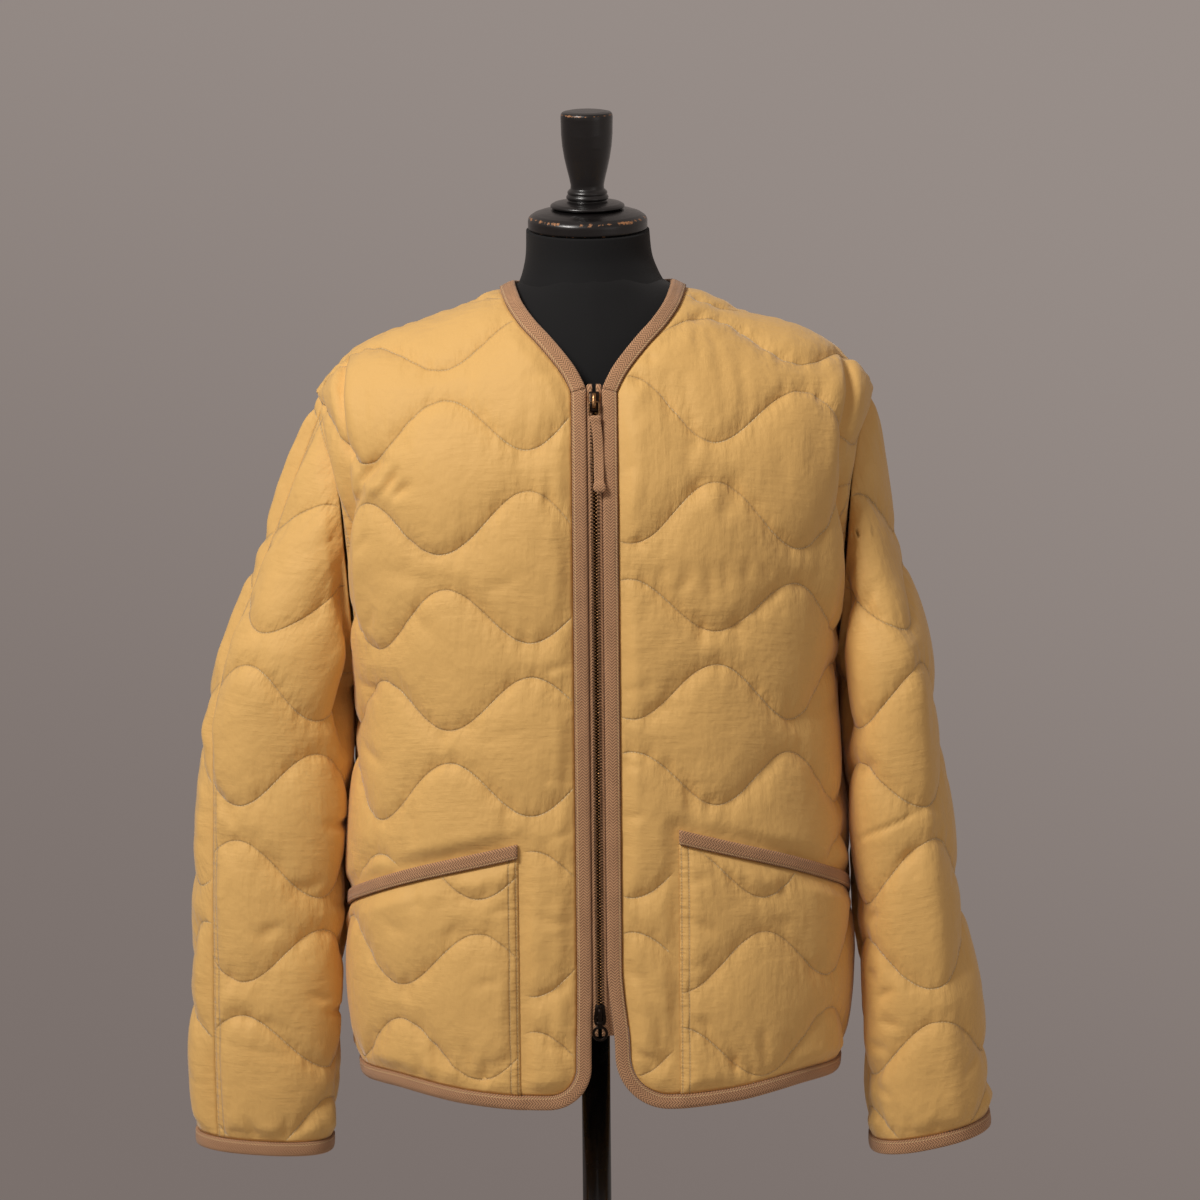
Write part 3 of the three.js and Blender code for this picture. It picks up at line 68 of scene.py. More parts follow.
TAPE_WIDTH = 12
TAPE_PROUD = 0.9
TAPE_THICKNESS = 4
QUILT_PITCH = 75
QUILT_SWING = 23
QUILT_WAVE = 140
QUILT_EDGE = 15
VALLEY = 1.2
PUFF_REACH = 8
GRID = 3.0

# Half width of the jacket's body at each level
BODY_ROWS = [
    (-690, 202), (-600, 211), (-500, 212), (-420, 206), (-340, 201),
    (-277, 209), (-219, 216), (-155, 222.5), (-91, SHOULDER_WIDTH),
]
# Level of the shoulder line at each distance from the middle
SHOULDER_ROWS = [
    (0, 24), (40, 16), (72, 0), (122, -23.5), (166, -37.5),
    (190, -48), (210, -61), (222, -73), (SHOULDER_WIDTH, -91),
]
# Distance of the front neckline from the middle at each level
NECK_ROWS = [
    (-84, FRONT_EDGE), (-76, 10), (-67, 15), (-57, 22.4), (-42, 35.2), (-28, 48.6), (-14, 59), (0, 65.5),
]
NECK_BOTTOM = -84
NECK_HALF_WIDTH = 66.5
NECK_BACK_DEPTH = 66
# Level of the hem at each distance round from the middle of the front
HEM_ROWS = [
    (0, HEM_LEVEL - 1), (60, HEM_LEVEL - 2), (110, HEM_LEVEL + 1), (180, HEM_LEVEL + 8),
    (240, HEM_LEVEL + 4), (300, HEM_LEVEL - 1), (450, HEM_LEVEL - 6), (600, HEM_LEVEL - 7),
]
ARMHOLE_LEVEL = -210
ARMHOLE_HALF_HEIGHT = 119
ARMHOLE_FRONT_REACH = 55
ARMHOLE_BACK_REACH = 68
UNDERARM = ARMHOLE_LEVEL - ARMHOLE_HALF_HEIGHT - SHOULDER_START
SLEEVE_FULLNESS = 2.3
SLEEVE_CLEARANCE = 7.5

# Sleeve rings: level, out, half width, half depth, forward, tilt in degrees
SLEEVES = {
    "left": {
        "side": -1, "bulge": 1, "seam": (0.125, 0.045),
        "rings": [
            (-322, 262, 55, 76, 4, 22), (-378, 270, 64, 71, 2, 14), (-450, 274, 65, 65, -4, 8),
            (-530, 281, 64, 56, -12, 3), (-620, 286, 62, 48, -20, 2), (-737, 290, 59, 36, -26, 4),
        ],
    },
    "right": {
        "side": 1, "bulge": -6, "seam": (-0.12, -0.06),
        "rings": [
            (-318, 243, 38, 94, 4, 14), (-378, 248, 39, 90, 0, 10), (-450, 255, 42, 82, -6, 9),
            (-530, 264, 43, 72, -16, 9), (-620, 276, 47, 60, -26, 8), (-732, 283, 53, 46, -32, 12),
        ],
    },
}
SIDES = {"left": {"side": -1, "corner": 36, "sweep": 1}, "right": {"side": 1, "corner": 46, "sweep": 6}}

# Quilting of each panel: height of one stitch line and the place of its crest
QUILTS = {
    "front_left": (-58, -124),
    "front_right": (25, 98),
    "back": (20, 600),
    "pocket_left": (-353, -99),
    "pocket_right": (-355, 137),
    "sleeve_left": (250, 75),
    "sleeve_right": (315, -150),
}
POCKET_ROWS = {
    "left": [(60, -452), (150, -475), (225, -500), (310, -528)],
    "right": [(60, -441), (150, -466), (225, -491), (310, -519)],
}
POCKET_INNER = 66
POCKET_WALL = 2

ZIP_TOP = -80
ZIP_BOTTOM = -604
CHAIN_LOW = TAPE_PROUD - TAPE_THICKNESS
CHAIN_THICKNESS = 3
TOOTH_PITCH = 2.5
SLIDER_LENGTH = 17
SLIDER_HEIGHT = 5.4

FORM_BOTTOM = -600
FORM_WIDTH = 190
# Level, half width and half depth of the torso
FORM_ROWS = [
    (-600, 168, 116), (-520, 166, 114), (-380, 150, 102), (-260, 164, 114), (-180, 178, 120),
    (-100, 190, 120),
]
SHOULDER_REST = 1.15
NECK_TOP = 45
NECK_LEAN = 10
STAND_SHIFT = -4
POLE_RADIUS = 12.5
FOOT_HUB = 46
COLLAR_HEIGHT = 26
FORM_FULLNESS = 2.3
SLEEVE_RUN = 560
SLEEVE_ACROSS = 230
RING_RADIUS = 5.4
FLOOR_RADIUS = 1200
DOME_RADIUS = 9000
TARGET_HEIGHT = 1.15

# Camera: tilt and roll in degrees, focal length and sideways shift in pixels of a picture this wide
CAMERA_TILT = 6.3
CAMERA_ROLL = -0.55
FOCAL_PIXELS = 3038
SHIFT_PIXELS = 4
PICTURE_WIDTH = 1200
SENSOR_WIDTH = 36


def linear(red, green, blue):
    """The linear colour of a screen colour given from 0 to 255."""
    shares = (c / 255 for c in (red, green, blue))
    return tuple(c / 12.92 if c < 0.0404 else ((c + 0.055) / 1.055) ** 2.4 for c in shares)


def smooth(x, low, high):
    """0 below low, 1 above high, and 3t^2 - 2t^3 between them."""
    t = np.clip((x - low) / (high - low), 0, 1)
    return t * t * (3 - 2 * t)


def column(rows, at, value=1):
    """Smooth curve through a table: cubics, each row's slope taken from the rows beside it."""
    table = np.array(rows, float)
    keys, values = table[:, 0], table[:, value]
    before = np.maximum(np.arange(len(keys)) - 1, 0)
    after = np.minimum(np.arange(len(keys)) + 1, len(keys) - 1)
    slope = (values[after] - values[before]) / (keys[after] - keys[before])
    place = np.clip(at, keys[0], keys[-1])
    i = np.clip(np.searchsorted(keys, place) - 1, 0, len(keys) - 2)
    span = keys[i + 1] - keys[i]
    t = (place - keys[i]) / span
    ease = t * t * (3 - 2 * t)
    bend = span * t * (1 - t) * ((1 - t) * slope[i] - t * slope[i + 1])
    return values[i] + (values[i + 1] - values[i]) * ease + bend


def oval_radius(angle, half_width, half_depth, fullness):
    """Distance to the edge of a full oval: (|sin|/width)^f + (|cos|/depth)^f, to the power -1/f."""
    across = np.abs(np.sin(angle)) / half_width
    along = np.abs(np.cos(angle)) / half_depth
    return (across**fullness + along**fullness) ** (-1 / fullness)


def oval_arc(half_width, half_depth, fullness):
    """Girth of an oval, and a function that turns a share of the girth into an angle."""
    angle = np.linspace(0, 2 * np.pi, 721)
    r = oval_radius(angle, half_width, half_depth, fullness)
    steps = np.hypot(np.diff(r * np.sin(angle)), np.diff(r * np.cos(angle)))
    total = np.concatenate([[0], np.cumsum(steps)])

    def angle_at(share):
        turns = np.floor(share)
        return 2 * np.pi * turns + np.interp((share - turns) * total[-1], total, angle)

    return total[-1], angle_at


BODY_GIRTH, body_share_angle = oval_arc(REFERENCE_WIDTH, BODY_DEPTH, BODY_FULLNESS)
SIDE = BODY_GIRTH / 4
body_angle = lambda around: body_share_angle(np.asarray(around, float) / BODY_GIRTH)


def shoulder_arc(angle):
    """Height, depth and mean radius of the quarter ellipse from SHOULDER_START to the shoulder line."""
    r = oval_radius(angle, SHOULDER_WIDTH, BODY_DEPTH, BODY_FULLNESS)
    height = column(SHOULDER_ROWS, np.abs(r * np.sin(angle))) - SHOULDER_START
    depth = np.abs(r * np.cos(angle))
    return height, depth, np.sqrt((height**2 + depth**2) / 2)


def shoulder_top(around):
    return np.pi / 2 * shoulder_arc(body_angle(around))[2]


def body_place(around, up):
    """Cloth distances to a place: ovals, whose depth shrinks by cos(lean) above SHOULDER_START."""
    angle = body_angle(around)
    height, _, length = shoulder_arc(angle)
    lean = np.maximum(up, 0) / length
    level = SHOULDER_START + np.where(up > 0, height * np.sin(lean), up)
    r = oval_radius(angle, column(BODY_ROWS, level), BODY_DEPTH, BODY_FULLNESS)
    y = -r * np.cos(angle) * np.where(up > 0, np.cos(lean), 1)
    return np.stack([r * np.sin(angle), y, NECK_HEIGHT + level], -1)


def up_at(around, level):
    """Cloth distance up of a level, the inverse of body_place's lean."""
    height, _, length = shoulder_arc(body_angle(around))
    above = np.arcsin(np.clip((level - SHOULDER_START) / height, 0, 1)) * length
    return np.where(level <= SHOULDER_START, level - SHOULDER_START, above)


def around_at(out, level):
    """Distance round at which the body lies a distance out from the middle, found by halving."""
    low, high = np.zeros(np.shape(out)), np.full(np.shape(out), SIDE)
    for _ in range(40):
        middle = (low + high) / 2
        angle = body_angle(middle)
        short = oval_radius(angle, column(BODY_ROWS, level), BODY_DEPTH, BODY_FULLNESS) * np.sin(angle) < out
        low, high = np.where(short, middle, low), np.where(short, high, middle)
    return low


def lengths(points):
    """Running length along a line of points."""
    steps = np.linalg.norm(np.diff(points, axis=0), axis=1)
    return np.concatenate([[0], np.cumsum(steps)])


def at_shares(points, shares):
    """Points at shares of the length of a line."""
    total = lengths(points)
    return np.stack([np.interp(np.asarray(shares) * total[-1], total, c) for c in np.transpose(points)], -1)


def evenly(points, step):
    return at_shares(points, np.linspace(0, 1, max(1, round(lengths(points)[-1] / step)) + 1))


def moved(points, distance):
    """The line moved to its left by a distance."""
    before = points[np.maximum(np.arange(len(points)) - 1, 0)]
    after = points[np.minimum(np.arange(len(points)) + 1, len(points) - 1)]
    along = (after - before) / np.linalg.norm(after - before, axis=1)[:, None]
    return points + distance * np.stack([-along[:, 1], along[:, 0]], -1)


def edge_distance(s, h, lines):
    """Least distance from cloth points to some lines, and how far along its line the nearest place is."""
    points = np.stack([s.ravel(), h.ravel()], -1)
    least, run = np.full(len(points), 1e3), np.zeros(len(points))
    for line in lines:
        start, span = line[:-1], np.diff(line, axis=0)
        begun = lengths(line)[:-1]
        size = np.maximum((span**2).sum(-1), 1e-9)
        for first in range(0, len(points), 4000):
            block = slice(first, first + 4000)
            gap = points[block, None] - start
            t = np.clip((gap * span).sum(-1) / size, 0, 1)
            away = np.linalg.norm(gap - t[..., None] * span, axis=-1)
            nearest = away.argmin(1)
            rows = np.arange(len(nearest))
            found = away[rows, nearest]
            closer = found < least[block]
            least[block] = np.where(closer, found, least[block])
            spot = begun[nearest] + t[rows, nearest] * np.sqrt(size[nearest])
            run[block] = np.where(closer, spot, run[block])
    return least.reshape(s.shape), run.reshape(s.shape)


def between_edges(bottom, right, top, left, step=GRID):
    """Grid inside four edges: both blends of opposite edges, less the blend of the four corners."""
    u = np.linspace(0, 1, round(max(lengths(bottom)[-1], lengths(top)[-1]) / step) + 1)
    v = np.linspace(0, 1, round(max(lengths(left)[-1], lengths(right)[-1]) / step) + 1)
    b, t, l, r = at_shares(bottom, u), at_shares(top, u), at_shares(left, v), at_shares(right, v)
    across, upward = u[None, :, None], v[:, None, None]
    grid = (1 - upward) * b[None] + upward * t[None] + (1 - across) * l[:, None] + across * r[:, None]
    grid -= (1 - across) * (1 - upward) * b[0] + across * (1 - upward) * b[-1]
    grid -= (1 - across) * upward * t[0] + across * upward * t[-1]
    return grid[..., 0], grid[..., 1]


def armhole_cloth(side, share):
    """Armhole loop in cloth distances, from the shoulder by the front to the underarm and the back."""
    _, angle_at = oval_arc(ARMHOLE_FRONT_REACH, ARMHOLE_HALF_HEIGHT, 2)
    angle = angle_at(share)
    reach = np.where(np.sin(angle) > 0, ARMHOLE_FRONT_REACH, ARMHOLE_BACK_REACH)
    r = oval_radius(angle, ARMHOLE_FRONT_REACH, ARMHOLE_HALF_HEIGHT, 2)
    around = SIDE - r * np.sin(angle) * reach / ARMHOLE_FRONT_REACH
    return side * around, up_at(around, ARMHOLE_LEVEL + r * np.cos(angle))


def ring_place(sleeve, ring, share):
    """Place on one ring: a full oval of its half depth and half width, tilted, at its level."""
    level, out, half_width, half_depth, forward, tilt = ring
    _, angle_at = oval_arc(half_depth, half_width, SLEEVE_FULLNESS)
    angle = angle_at(share)
    r = oval_radius(angle, half_depth, half_width, SLEEVE_FULLNESS)
    lean = math.radians(tilt)
    away = r * np.cos(angle)
    x = sleeve["side"] * (out + away * math.cos(lean))
    return np.stack([x, forward - r * np.sin(angle), NECK_HEIGHT + level + away * math.sin(lean)], -1)


def sleeve_line(sleeve, share):
    """Knots of the line down the sleeve at a share of the girth, cuff first, and their cuff distances."""
    knots = [ring_place(sleeve, ring, share) for ring in reversed(sleeve["rings"])]
    top = body_place(*armhole_cloth(sleeve["side"], share))
    upper = (knots[-1] + top) / 2
    upper[..., 0] += sleeve["side"] * sleeve["bulge"] * np.maximum(0, np.cos(2 * np.pi * share))
    knots = np.stack([*knots, upper, top])
    steps = np.linalg.norm(np.diff(knots, axis=0), axis=-1)
    return knots, np.concatenate([np.zeros((1, *steps.shape[1:])), np.cumsum(steps, axis=0)])


def along_line(knots, distance, up):
    """Smooth curve through the knots at a distance up, a cubic between two knots."""
    last = len(knots) - 1
    i = np.clip((distance[1:last] < up).sum(0), 0, last - 1)

    def pick(table, index):
        index = np.clip(index, 0, last)[None, ..., None]
        return np.take_along_axis(table, index, 0)[0]

    far = distance[..., None]

    def slope(j):
        a, b = np.maximum(j - 1, 0), np.minimum(j + 1, last)
        return (pick(knots, b) - pick(knots, a)) / (pick(far, b) - pick(far, a))

    span = pick(far, i + 1) - pick(far, i)
    t = (up[..., None] - pick(far, i)) / span
    ease = t * t * (3 - 2 * t)
    place = pick(knots, i) + (pick(knots, i + 1) - pick(knots, i)) * ease
    return place + span * t * (1 - t) * ((1 - t) * slope(i) - t * slope(i + 1))


def sleeve_girth(sleeve, up):
    rings = list(reversed(sleeve["rings"]))
    if "girths" not in sleeve:
        _, distance = sleeve_line(sleeve, np.array(0.25))
        sleeve["girths"] = [
            (distance[i], oval_arc(ring[3], ring[2], SLEEVE_FULLNESS)[0]) for i, ring in enumerate(rings)
        ]
    return column(sleeve["girths"], up)


def sleeve_place(sleeve, share, up):
    """Place on the sleeve. Its side by the armpit is pressed flat, just clear of the body."""
    knots, distance = sleeve_line(sleeve, share)
    place = along_line(knots, distance, up)
    free = smooth(distance[-1] - up, 0, 27)
    level = place[..., 2] - NECK_HEIGHT
    depth = np.minimum(np.abs(place[..., 1]) / BODY_DEPTH, 1)
    body = column(BODY_ROWS, level) * (1 - depth**BODY_FULLNESS) ** (1 / BODY_FULLNESS)
    limit = body + SLEEVE_CLEARANCE * free
    out = place[..., 0] * sleeve["side"]
    pressed = sleeve["side"] * (out + limit + np.hypot(out - limit, 8 * free)) / 2
    place[..., 0] = np.where(level < ARMHOLE_LEVEL, pressed, place[..., 0])
    return place


def sleeve_surface(sleeve):
    return lambda s, up: sleeve_place(sleeve, -sleeve["side"] * s / sleeve_girth(sleeve, up), up)


def outward(place, s, h):
    """Unit normal of a placed surface, from small steps along and up."""
    step = 0.5
    along = place(s + step, h) - place(s - step, h)
    upward = place(s, h + step) - place(s, h - step)
    normal = np.cross(along, upward)
    return normal / np.linalg.norm(normal, axis=-1)[..., None]


def on(place, s, h, height):
    """Cloth point moved out along its normal."""
    return place(s, h) + outward(place, s, h) * np.broadcast_to(height, np.shape(s))[..., None]


def quilt_bands(quilt, s, h):
    """Cloth distances to the stitch lines below and above, and how steep they are.

    Even lines stand at level + swing cos(2 pi (s - crest) / wave), and odd ones one pitch on with
    the wave turned over.
    """
    level, crest = quilt
    phase = 2 * np.pi * (s - crest) / QUILT_WAVE
    wave = QUILT_SWING * np.cos(phase)
    even = np.mod(h - level - wave, 2 * QUILT_PITCH)
    odd = np.mod(h - level - QUILT_PITCH + wave, 2 * QUILT_PITCH)
    steep = 2 * np.pi * QUILT_SWING / QUILT_WAVE * np.sin(phase)
    return np.minimum(even, odd), np.minimum(2 * QUILT_PITCH - even, 2 * QUILT_PITCH - odd), steep


def puff(quilt, s, h, rise):
    """Padding: 1 - e^(-distance / PUFF_REACH) beside a stitch line, and a low swell across the band."""
    below, above, steep = quilt_bands(quilt, s, h)
    band = below + above
    near = np.minimum(below, above) / np.sqrt(1 + steep**2)
    beside = 1 - np.exp(-(np.hypot(near, VALLEY) - VALLEY) / PUFF_REACH)
    swell = np.sin(np.pi * below / band)
    return rise * np.sqrt(band / QUILT_PITCH) * (0.72 * beside + 0.28 * swell)


def ripple(s, h, seed, reach):
    """Low uneven swell: a sum of eight waves of random direction, each about reach long."""
    random = np.random.default_rng(seed)
    total = np.zeros(np.shape(s))
    for _ in range(8):
        turn, size, start = random.uniform(0, np.pi), random.uniform(0.7, 1.5) * reach, random.uniform(0, 6.3)
        total += np.sin(2 * np.pi * (s * math.cos(turn) + h * math.sin(turn)) / size + start)
    return total / 8


def fold(s, h, rows):
    """Creases: each row adds depth times a bell across it, faded out along it, on a line bent by
    its bow."""
    total = np.zeros(np.shape(s))
    for first_s, first_h, last_s, last_h, width, depth, bow in rows:
        half_s, half_h = (last_s - first_s) / 2, (last_h - first_h) / 2
        half = math.hypot(half_s, half_h)
        ds, dh = s - first_s - half_s, h - first_h - half_h
        along = (ds * half_s + dh * half_h) / half**2
        across = (dh * half_s - ds * half_h) / half - bow * (1 - along**2)
        fade = np.clip(1 - (along / 1.2) ** 2, 0, 1) ** 1.5
        total += depth * fade * np.exp(-((across / width) ** 2))
    return total


# Creases of the fronts and pockets: out and level of both ends, width, depth, bow
FRONT_CREASES = {
    "front_left": [
        (211, -62, 203, -142, 6, -8, 2), (199, -66, 192, -140, 9, 3.2, 0), (208, -130, 196, -144, 4, -4, 0),
        (198, -168, 170, -140, 4, -5.5, 1), (188, -172, 166, -158, 3.5, 3, 0),
        (175, -170, 157, -147, 4, -4.5, -1), (165, -173, 145, -160, 4, -4, 1),
        (204, -184, 189, -166, 4, -6, 0), (192, -186, 190, -292, 8, 4, 2),
        (204, -140, 202, -312, 8, -17, 0), (183, -201, 191, -220, 5, -2, 0),
        (176, -230, 116, -237, 8, -1.8, -2), (180, -262, 184, -285, 5, -2, 0),
        (127, -360, 127, -381, 4, -2.2, 0), (153, -424, 151, -460, 6, -2.4, 1),
        (80, -424, 69, -451, 5, -2.6, 0), (20, -306, 44, -312, 3.5, -1.6, 0),
        (19, -344, 38, -341, 3, -1.4, 0), (20, -404, 46, -396, 3.5, -1.5, 1),
        (19, -442, 40, -450, 3.5, -1.6, 0), (20, -520, 52, -512, 4, -1.8, 1),
        (20, -566, 46, -582, 4, -2, 0), (24, -628, 50, -618, 4, -2.4, 0), (60, -172, 52, -98, 7, -1.2, 2),
        (24, -140, 48, -128, 4, -1.5, 0), (96, -52, 104, -96, 7, -1.2, 0), (70, -26, 84, -64, 5, -1.2, 0),
        (30, -70, 58, -76, 5, -1.6, 2), (150, -262, 126, -290, 6, -1.5, 0),
        (60, -360, 96, -372, 6, -1.3, 0), (58, -232, 92, -246, 6, -1.2, 2),
        (196, -330, 176, -338, 5, -2.4, 0), (194, -380, 172, -396, 5, -2.4, 0),
    ],
    "front_right": [
        (211, -62, 202, -146, 6, -8.5, 2), (199, -70, 190, -166, 10, 3.4, 0),
        (204, -140, 202, -312, 8, -17, 0), (190, -176, 189, -290, 9, 2.6, 2),
        (90, -34, 107, -114, 6, -1.6, 3), (112, -52, 122, -112, 5, -1.3, 2),
        (70, -68, 76, -122, 5, -1.5, 1), (58, -62, 59, -120, 5, -1.3, 0), (80, -20, 86, -72, 4, -1.4, 0),
        (42, -56, 49, -66, 4, -2, 0), (30, -72, 40, -84, 4, -2, 0), (36, -94, 32, -120, 5, -1.4, 1),
        (78, -122, 73, -156, 6, -2, 0), (86, -152, 82, -178, 5, -2.3, 0),
        (107, -156, 103, -193, 6, -2.5, 1), (116, -152, 112, -186, 5, -2.2, 0),
        (97, -158, 94, -190, 4, 1.6, 0), (91, -224, 93, -260, 5, -2.4, 0),
        (103, -222, 105, -257, 5, -2.2, 0), (76, -224, 67, -250, 5, -2.3, 1),
        (119, -222, 123, -242, 5, -1.7, 0), (57, -222, 51, -244, 4, -1.8, 0),
        (132, -226, 142, -240, 4, -1.3, 0), (87, -264, 83, -297, 6, -2.3, 1),
        (112, -270, 116, -292, 5, -1.6, 0), (146, -120, 150, -176, 9, -1.4, 2),
        (74, -403, 79, -442, 6, -3.2, 0), (21, -552, 47, -586, 7, -3.2, 2), (47, -584, 51, -636, 5, -3, 0),
        (26, -624, 50, -640, 4, -2.6, 0), (20, -500, 44, -494, 4, -1.6, 0),
        (19, -436, 40, -428, 3.5, -1.6, 1), (19, -388, 42, -392, 4, -1.5, 0),
        (19, -330, 46, -322, 4, -1.5, 0), (19, -212, 40, -206, 4, -1.5, 0),
        (19, -150, 34, -146, 4, -1.5, 0), (40, -350, 70, -342, 7, -1.3, 2),
        (150, -330, 168, -384, 8, -1.6, 2), (196, -350, 174, -358, 5, -2, 0),
    ],
    "pocket_left": [
        (153, -490, 147, -514, 6, -2.6, 0), (128, -538, 112, -520, 5, -2.2, 0),
        (137, -622, 132, -652, 4, -3, 0), (110, -616, 102, -652, 4, -3, 0),
        (91, -632, 97, -658, 4, -2.6, 0), (80, -566, 104, -572, 5, -1.6, 0),
        (72, -506, 88, -512, 4, -1.8, 0), (176, -520, 158, -534, 5, -1.8, 0),
        (150, -634, 146, -654, 4, -2.4, 0), (72, -628, 88, -640, 5, -2.2, 0),
        (168, -580, 150, -588, 6, -1.6, 1), (122, -634, 118, -654, 4, 1.8, 0),
    ],
    "pocket_right": [
        (73, -516, 96, -533, 5, -2.5, 1), (131, -608, 136, -648, 5, -2.8, 0),
        (112, -628, 110, -650, 4, -2.2, 0), (72, -486, 90, -482, 4, -1.8, 0),
        (72, -558, 92, -552, 5, -1.6, 0), (150, -618, 160, -646, 5, -2.2, 0),
        (74, -600, 92, -612, 5, -2, 1), (140, -520, 160, -532, 6, -1.5, 0),
        (186, -560, 170, -572, 6, -2, 0),
    ],
}
# Creases of the back and sleeves in cloth distances: s and up of both ends, width, depth, bow
PANEL_CREASES = {
    "back": [
        (360, 60, 430, 20, 7, -2.6, 3), (352, 20, 410, -30, 6, -2.2, 0), (362, -40, 400, -110, 7, -2.4, 2),
        (362, 130, 350, 70, 6, -3.5, 0), (890, 50, 824, 12, 7, -2.5, -3), (900, 12, 850, -44, 6, -2.2, 0),
        (896, -50, 856, -120, 7, -2.3, -2), (905, 128, 915, 66, 6, -3.5, 0),
        (560, 236, 580, 160, 7, -1.5, 2), (700, 232, 672, 166, 7, -1.5, 0),
        (630, 210, 628, 130, 8, -1.3, 0), (500, -60, 560, -84, 7, -1.6, 2),
        (720, -92, 770, -70, 7, -1.6, 0), (620, -190, 660, -230, 8, -1.5, 0),
        (480, -250, 540, -280, 7, -1.6, 3), (760, -300, 820, -282, 7, -1.6, 0),
        (420, -430, 414, -462, 4, -2.6, 0), (470, -436, 478, -464, 4, -2.4, 0),
        (540, -430, 536, -464, 5, -2.6, 0), (604, -440, 612, -466, 4, -2.4, 0),
        (676, -430, 668, -464, 5, -2.6, 0), (740, -438, 748, -466, 4, -2.4, 0),
        (810, -428, 804, -460, 4, -2.6, 0), (372, -220, 410, -236, 6, -2, 0),
        (880, -240, 846, -262, 6, -2, 0), (366, -340, 400, -330, 6, -2, 0),
        (890, -360, 850, -372, 6, -2, 0),
    ],
    "sleeve_left": [
        (180, 460, 180, 350, 12, -16, 0), (124, 532, 178, 436, 13, -16, -4),
        (148, 520, 146, 400, 8, 2.5, 2), (152, 560, 168, 548, 5, -3, 0), (118, 640, 116, 606, 5, -2.2, 0),
        (98, 612, 92, 570, 5, -1.8, 0), (132, 596, 130, 520, 6, -1.8, 1), (110, 520, 112, 462, 6, -1.5, 0),
        (18, 404, 42, 396, 4, -6, 1), (2, 408, 20, 390, 5, -3, 0), (16, 520, 40, 526, 4, -2.4, 0),
        (12, 476, 38, 488, 4, -2.4, 0), (14, 446, 36, 440, 4, -2.2, 0), (10, 360, 36, 350, 5, -2, 0),
        (8, 326, 34, 336, 4, -2.4, 0), (150, 288, 196, 287, 5, -4.5, 0), (142, 126, 186, 124, 4, -3.5, 0),
        (2, 260, 42, 237, 5, -4, 1), (6, 286, 36, 252, 4, -3, 0), (2, 194, 36, 210, 5, -3.2, 0),
        (4, 130, 32, 143, 4, -3, 0), (6, 96, 30, 88, 4, -2.6, 0), (8, 60, 30, 52, 4, -2.6, 0),
        (62, 304, 74, 284, 6, -2.4, 0), (88, 190, 113, 206, 5, -2.5, 0), (44, 124, 126, 110, 4, -1.2, 2),
        (54, 98, 116, 89, 4, -1.2, 0), (128, 144, 152, 135, 4, -2, 0), (68, 34, 78, 14, 4, -2.6, 0),
        (40, 30, 46, 14, 4, -2.4, 0), (104, 36, 98, 14, 4, -2.4, 0), (132, 32, 138, 14, 4, -2, 0),
        (152, 220, 190, 214, 5, -2, 0), (150, 60, 184, 66, 5, -2.4, 0), (120, 232, 150, 240, 5, -1.8, 0),
        (80, 456, 84, 404, 6, -1.4, 0), (300, 520, 280, 440, 8, -2.5, 3), (250, 560, 262, 500, 7, -2.2, 0),
        (330, 300, 290, 282, 6, -3, 0), (260, 200, 300, 214, 6, -2.4, 2), (340, 150, 300, 138, 5, -2.6, 0),
        (240, 90, 280, 80, 5, -2, 0), (210, 350, 250, 336, 6, -3, 0), (212, 220, 244, 230, 5, -2.6, 0),
        (300, 40, 306, 14, 4, -2.4, 0), (250, 36, 246, 14, 4, -2.4, 0),
    ],
    "sleeve_right": [
        (-120, 604, -126, 548, 7, -3, 1), (-140, 520, -178, 430, 14, -11, 4),
        (-178, 440, -178, 350, 12, -12, 0), (-98, 460, -86, 310, 10, 3.2, 2),
        (-86, 336, -62, 16, 10, 3.6, -3), (-126, 543, -102, 554, 5, -2.2, 0),
        (-120, 466, -98, 488, 6, -2.2, 0), (-134, 500, -108, 512, 5, -1.8, 0),
        (-130, 119, -110, 112, 5, -3.2, 0), (-132, 136, -114, 146, 5, -2.8, 0),
        (-150, 272, -83, 294, 2.4, -3, 0), (-150, 204, -124, 210, 5, -3, 0),
        (-148, 330, -122, 338, 5, -2.4, 0), (-146, 160, -130, 156, 4, -2.6, 0),
        (-148, 96, -120, 92, 5, -2.4, 0), (-110, 250, -90, 262, 5, -1.8, 0),
        (-140, 60, -116, 52, 4, -2.4, 0), (-104, 34, -98, 14, 4, -2.6, 0), (-84, 30, -80, 14, 4, -2.2, 0),
        (-128, 32, -134, 14, 4, -2.2, 0), (-60, 220, -40, 232, 6, -2, 0), (-56, 150, -34, 142, 6, -2, 0),
        (-60, 380, -40, 372, 6, -2, 0), (-30, 520, -12, 504, 6, -2, 0), (-60, 60, -36, 70, 5, -2, 0),
        (-24, 300, -4, 310, 5, -2.4, 0), (-20, 200, -2, 192, 5, -2.4, 0), (-18, 110, -2, 118, 5, -2.4, 0),
        (-280, 520, -262, 450, 8, -2.4, 2), (-230, 540, -246, 480, 7, -2, 0),
        (-300, 300, -266, 286, 6, -2.8, 0), (-240, 210, -280, 222, 6, -2.4, 0),
        (-300, 130, -262, 120, 5, -2.4, 0), (-196, 360, -226, 350, 6, -2.6, 0),
        (-200, 230, -228, 236, 5, -2.6, 0), (-260, 36, -256, 14, 4, -2.4, 0),
        (-210, 34, -216, 14, 4, -2.4, 0),
    ],
}


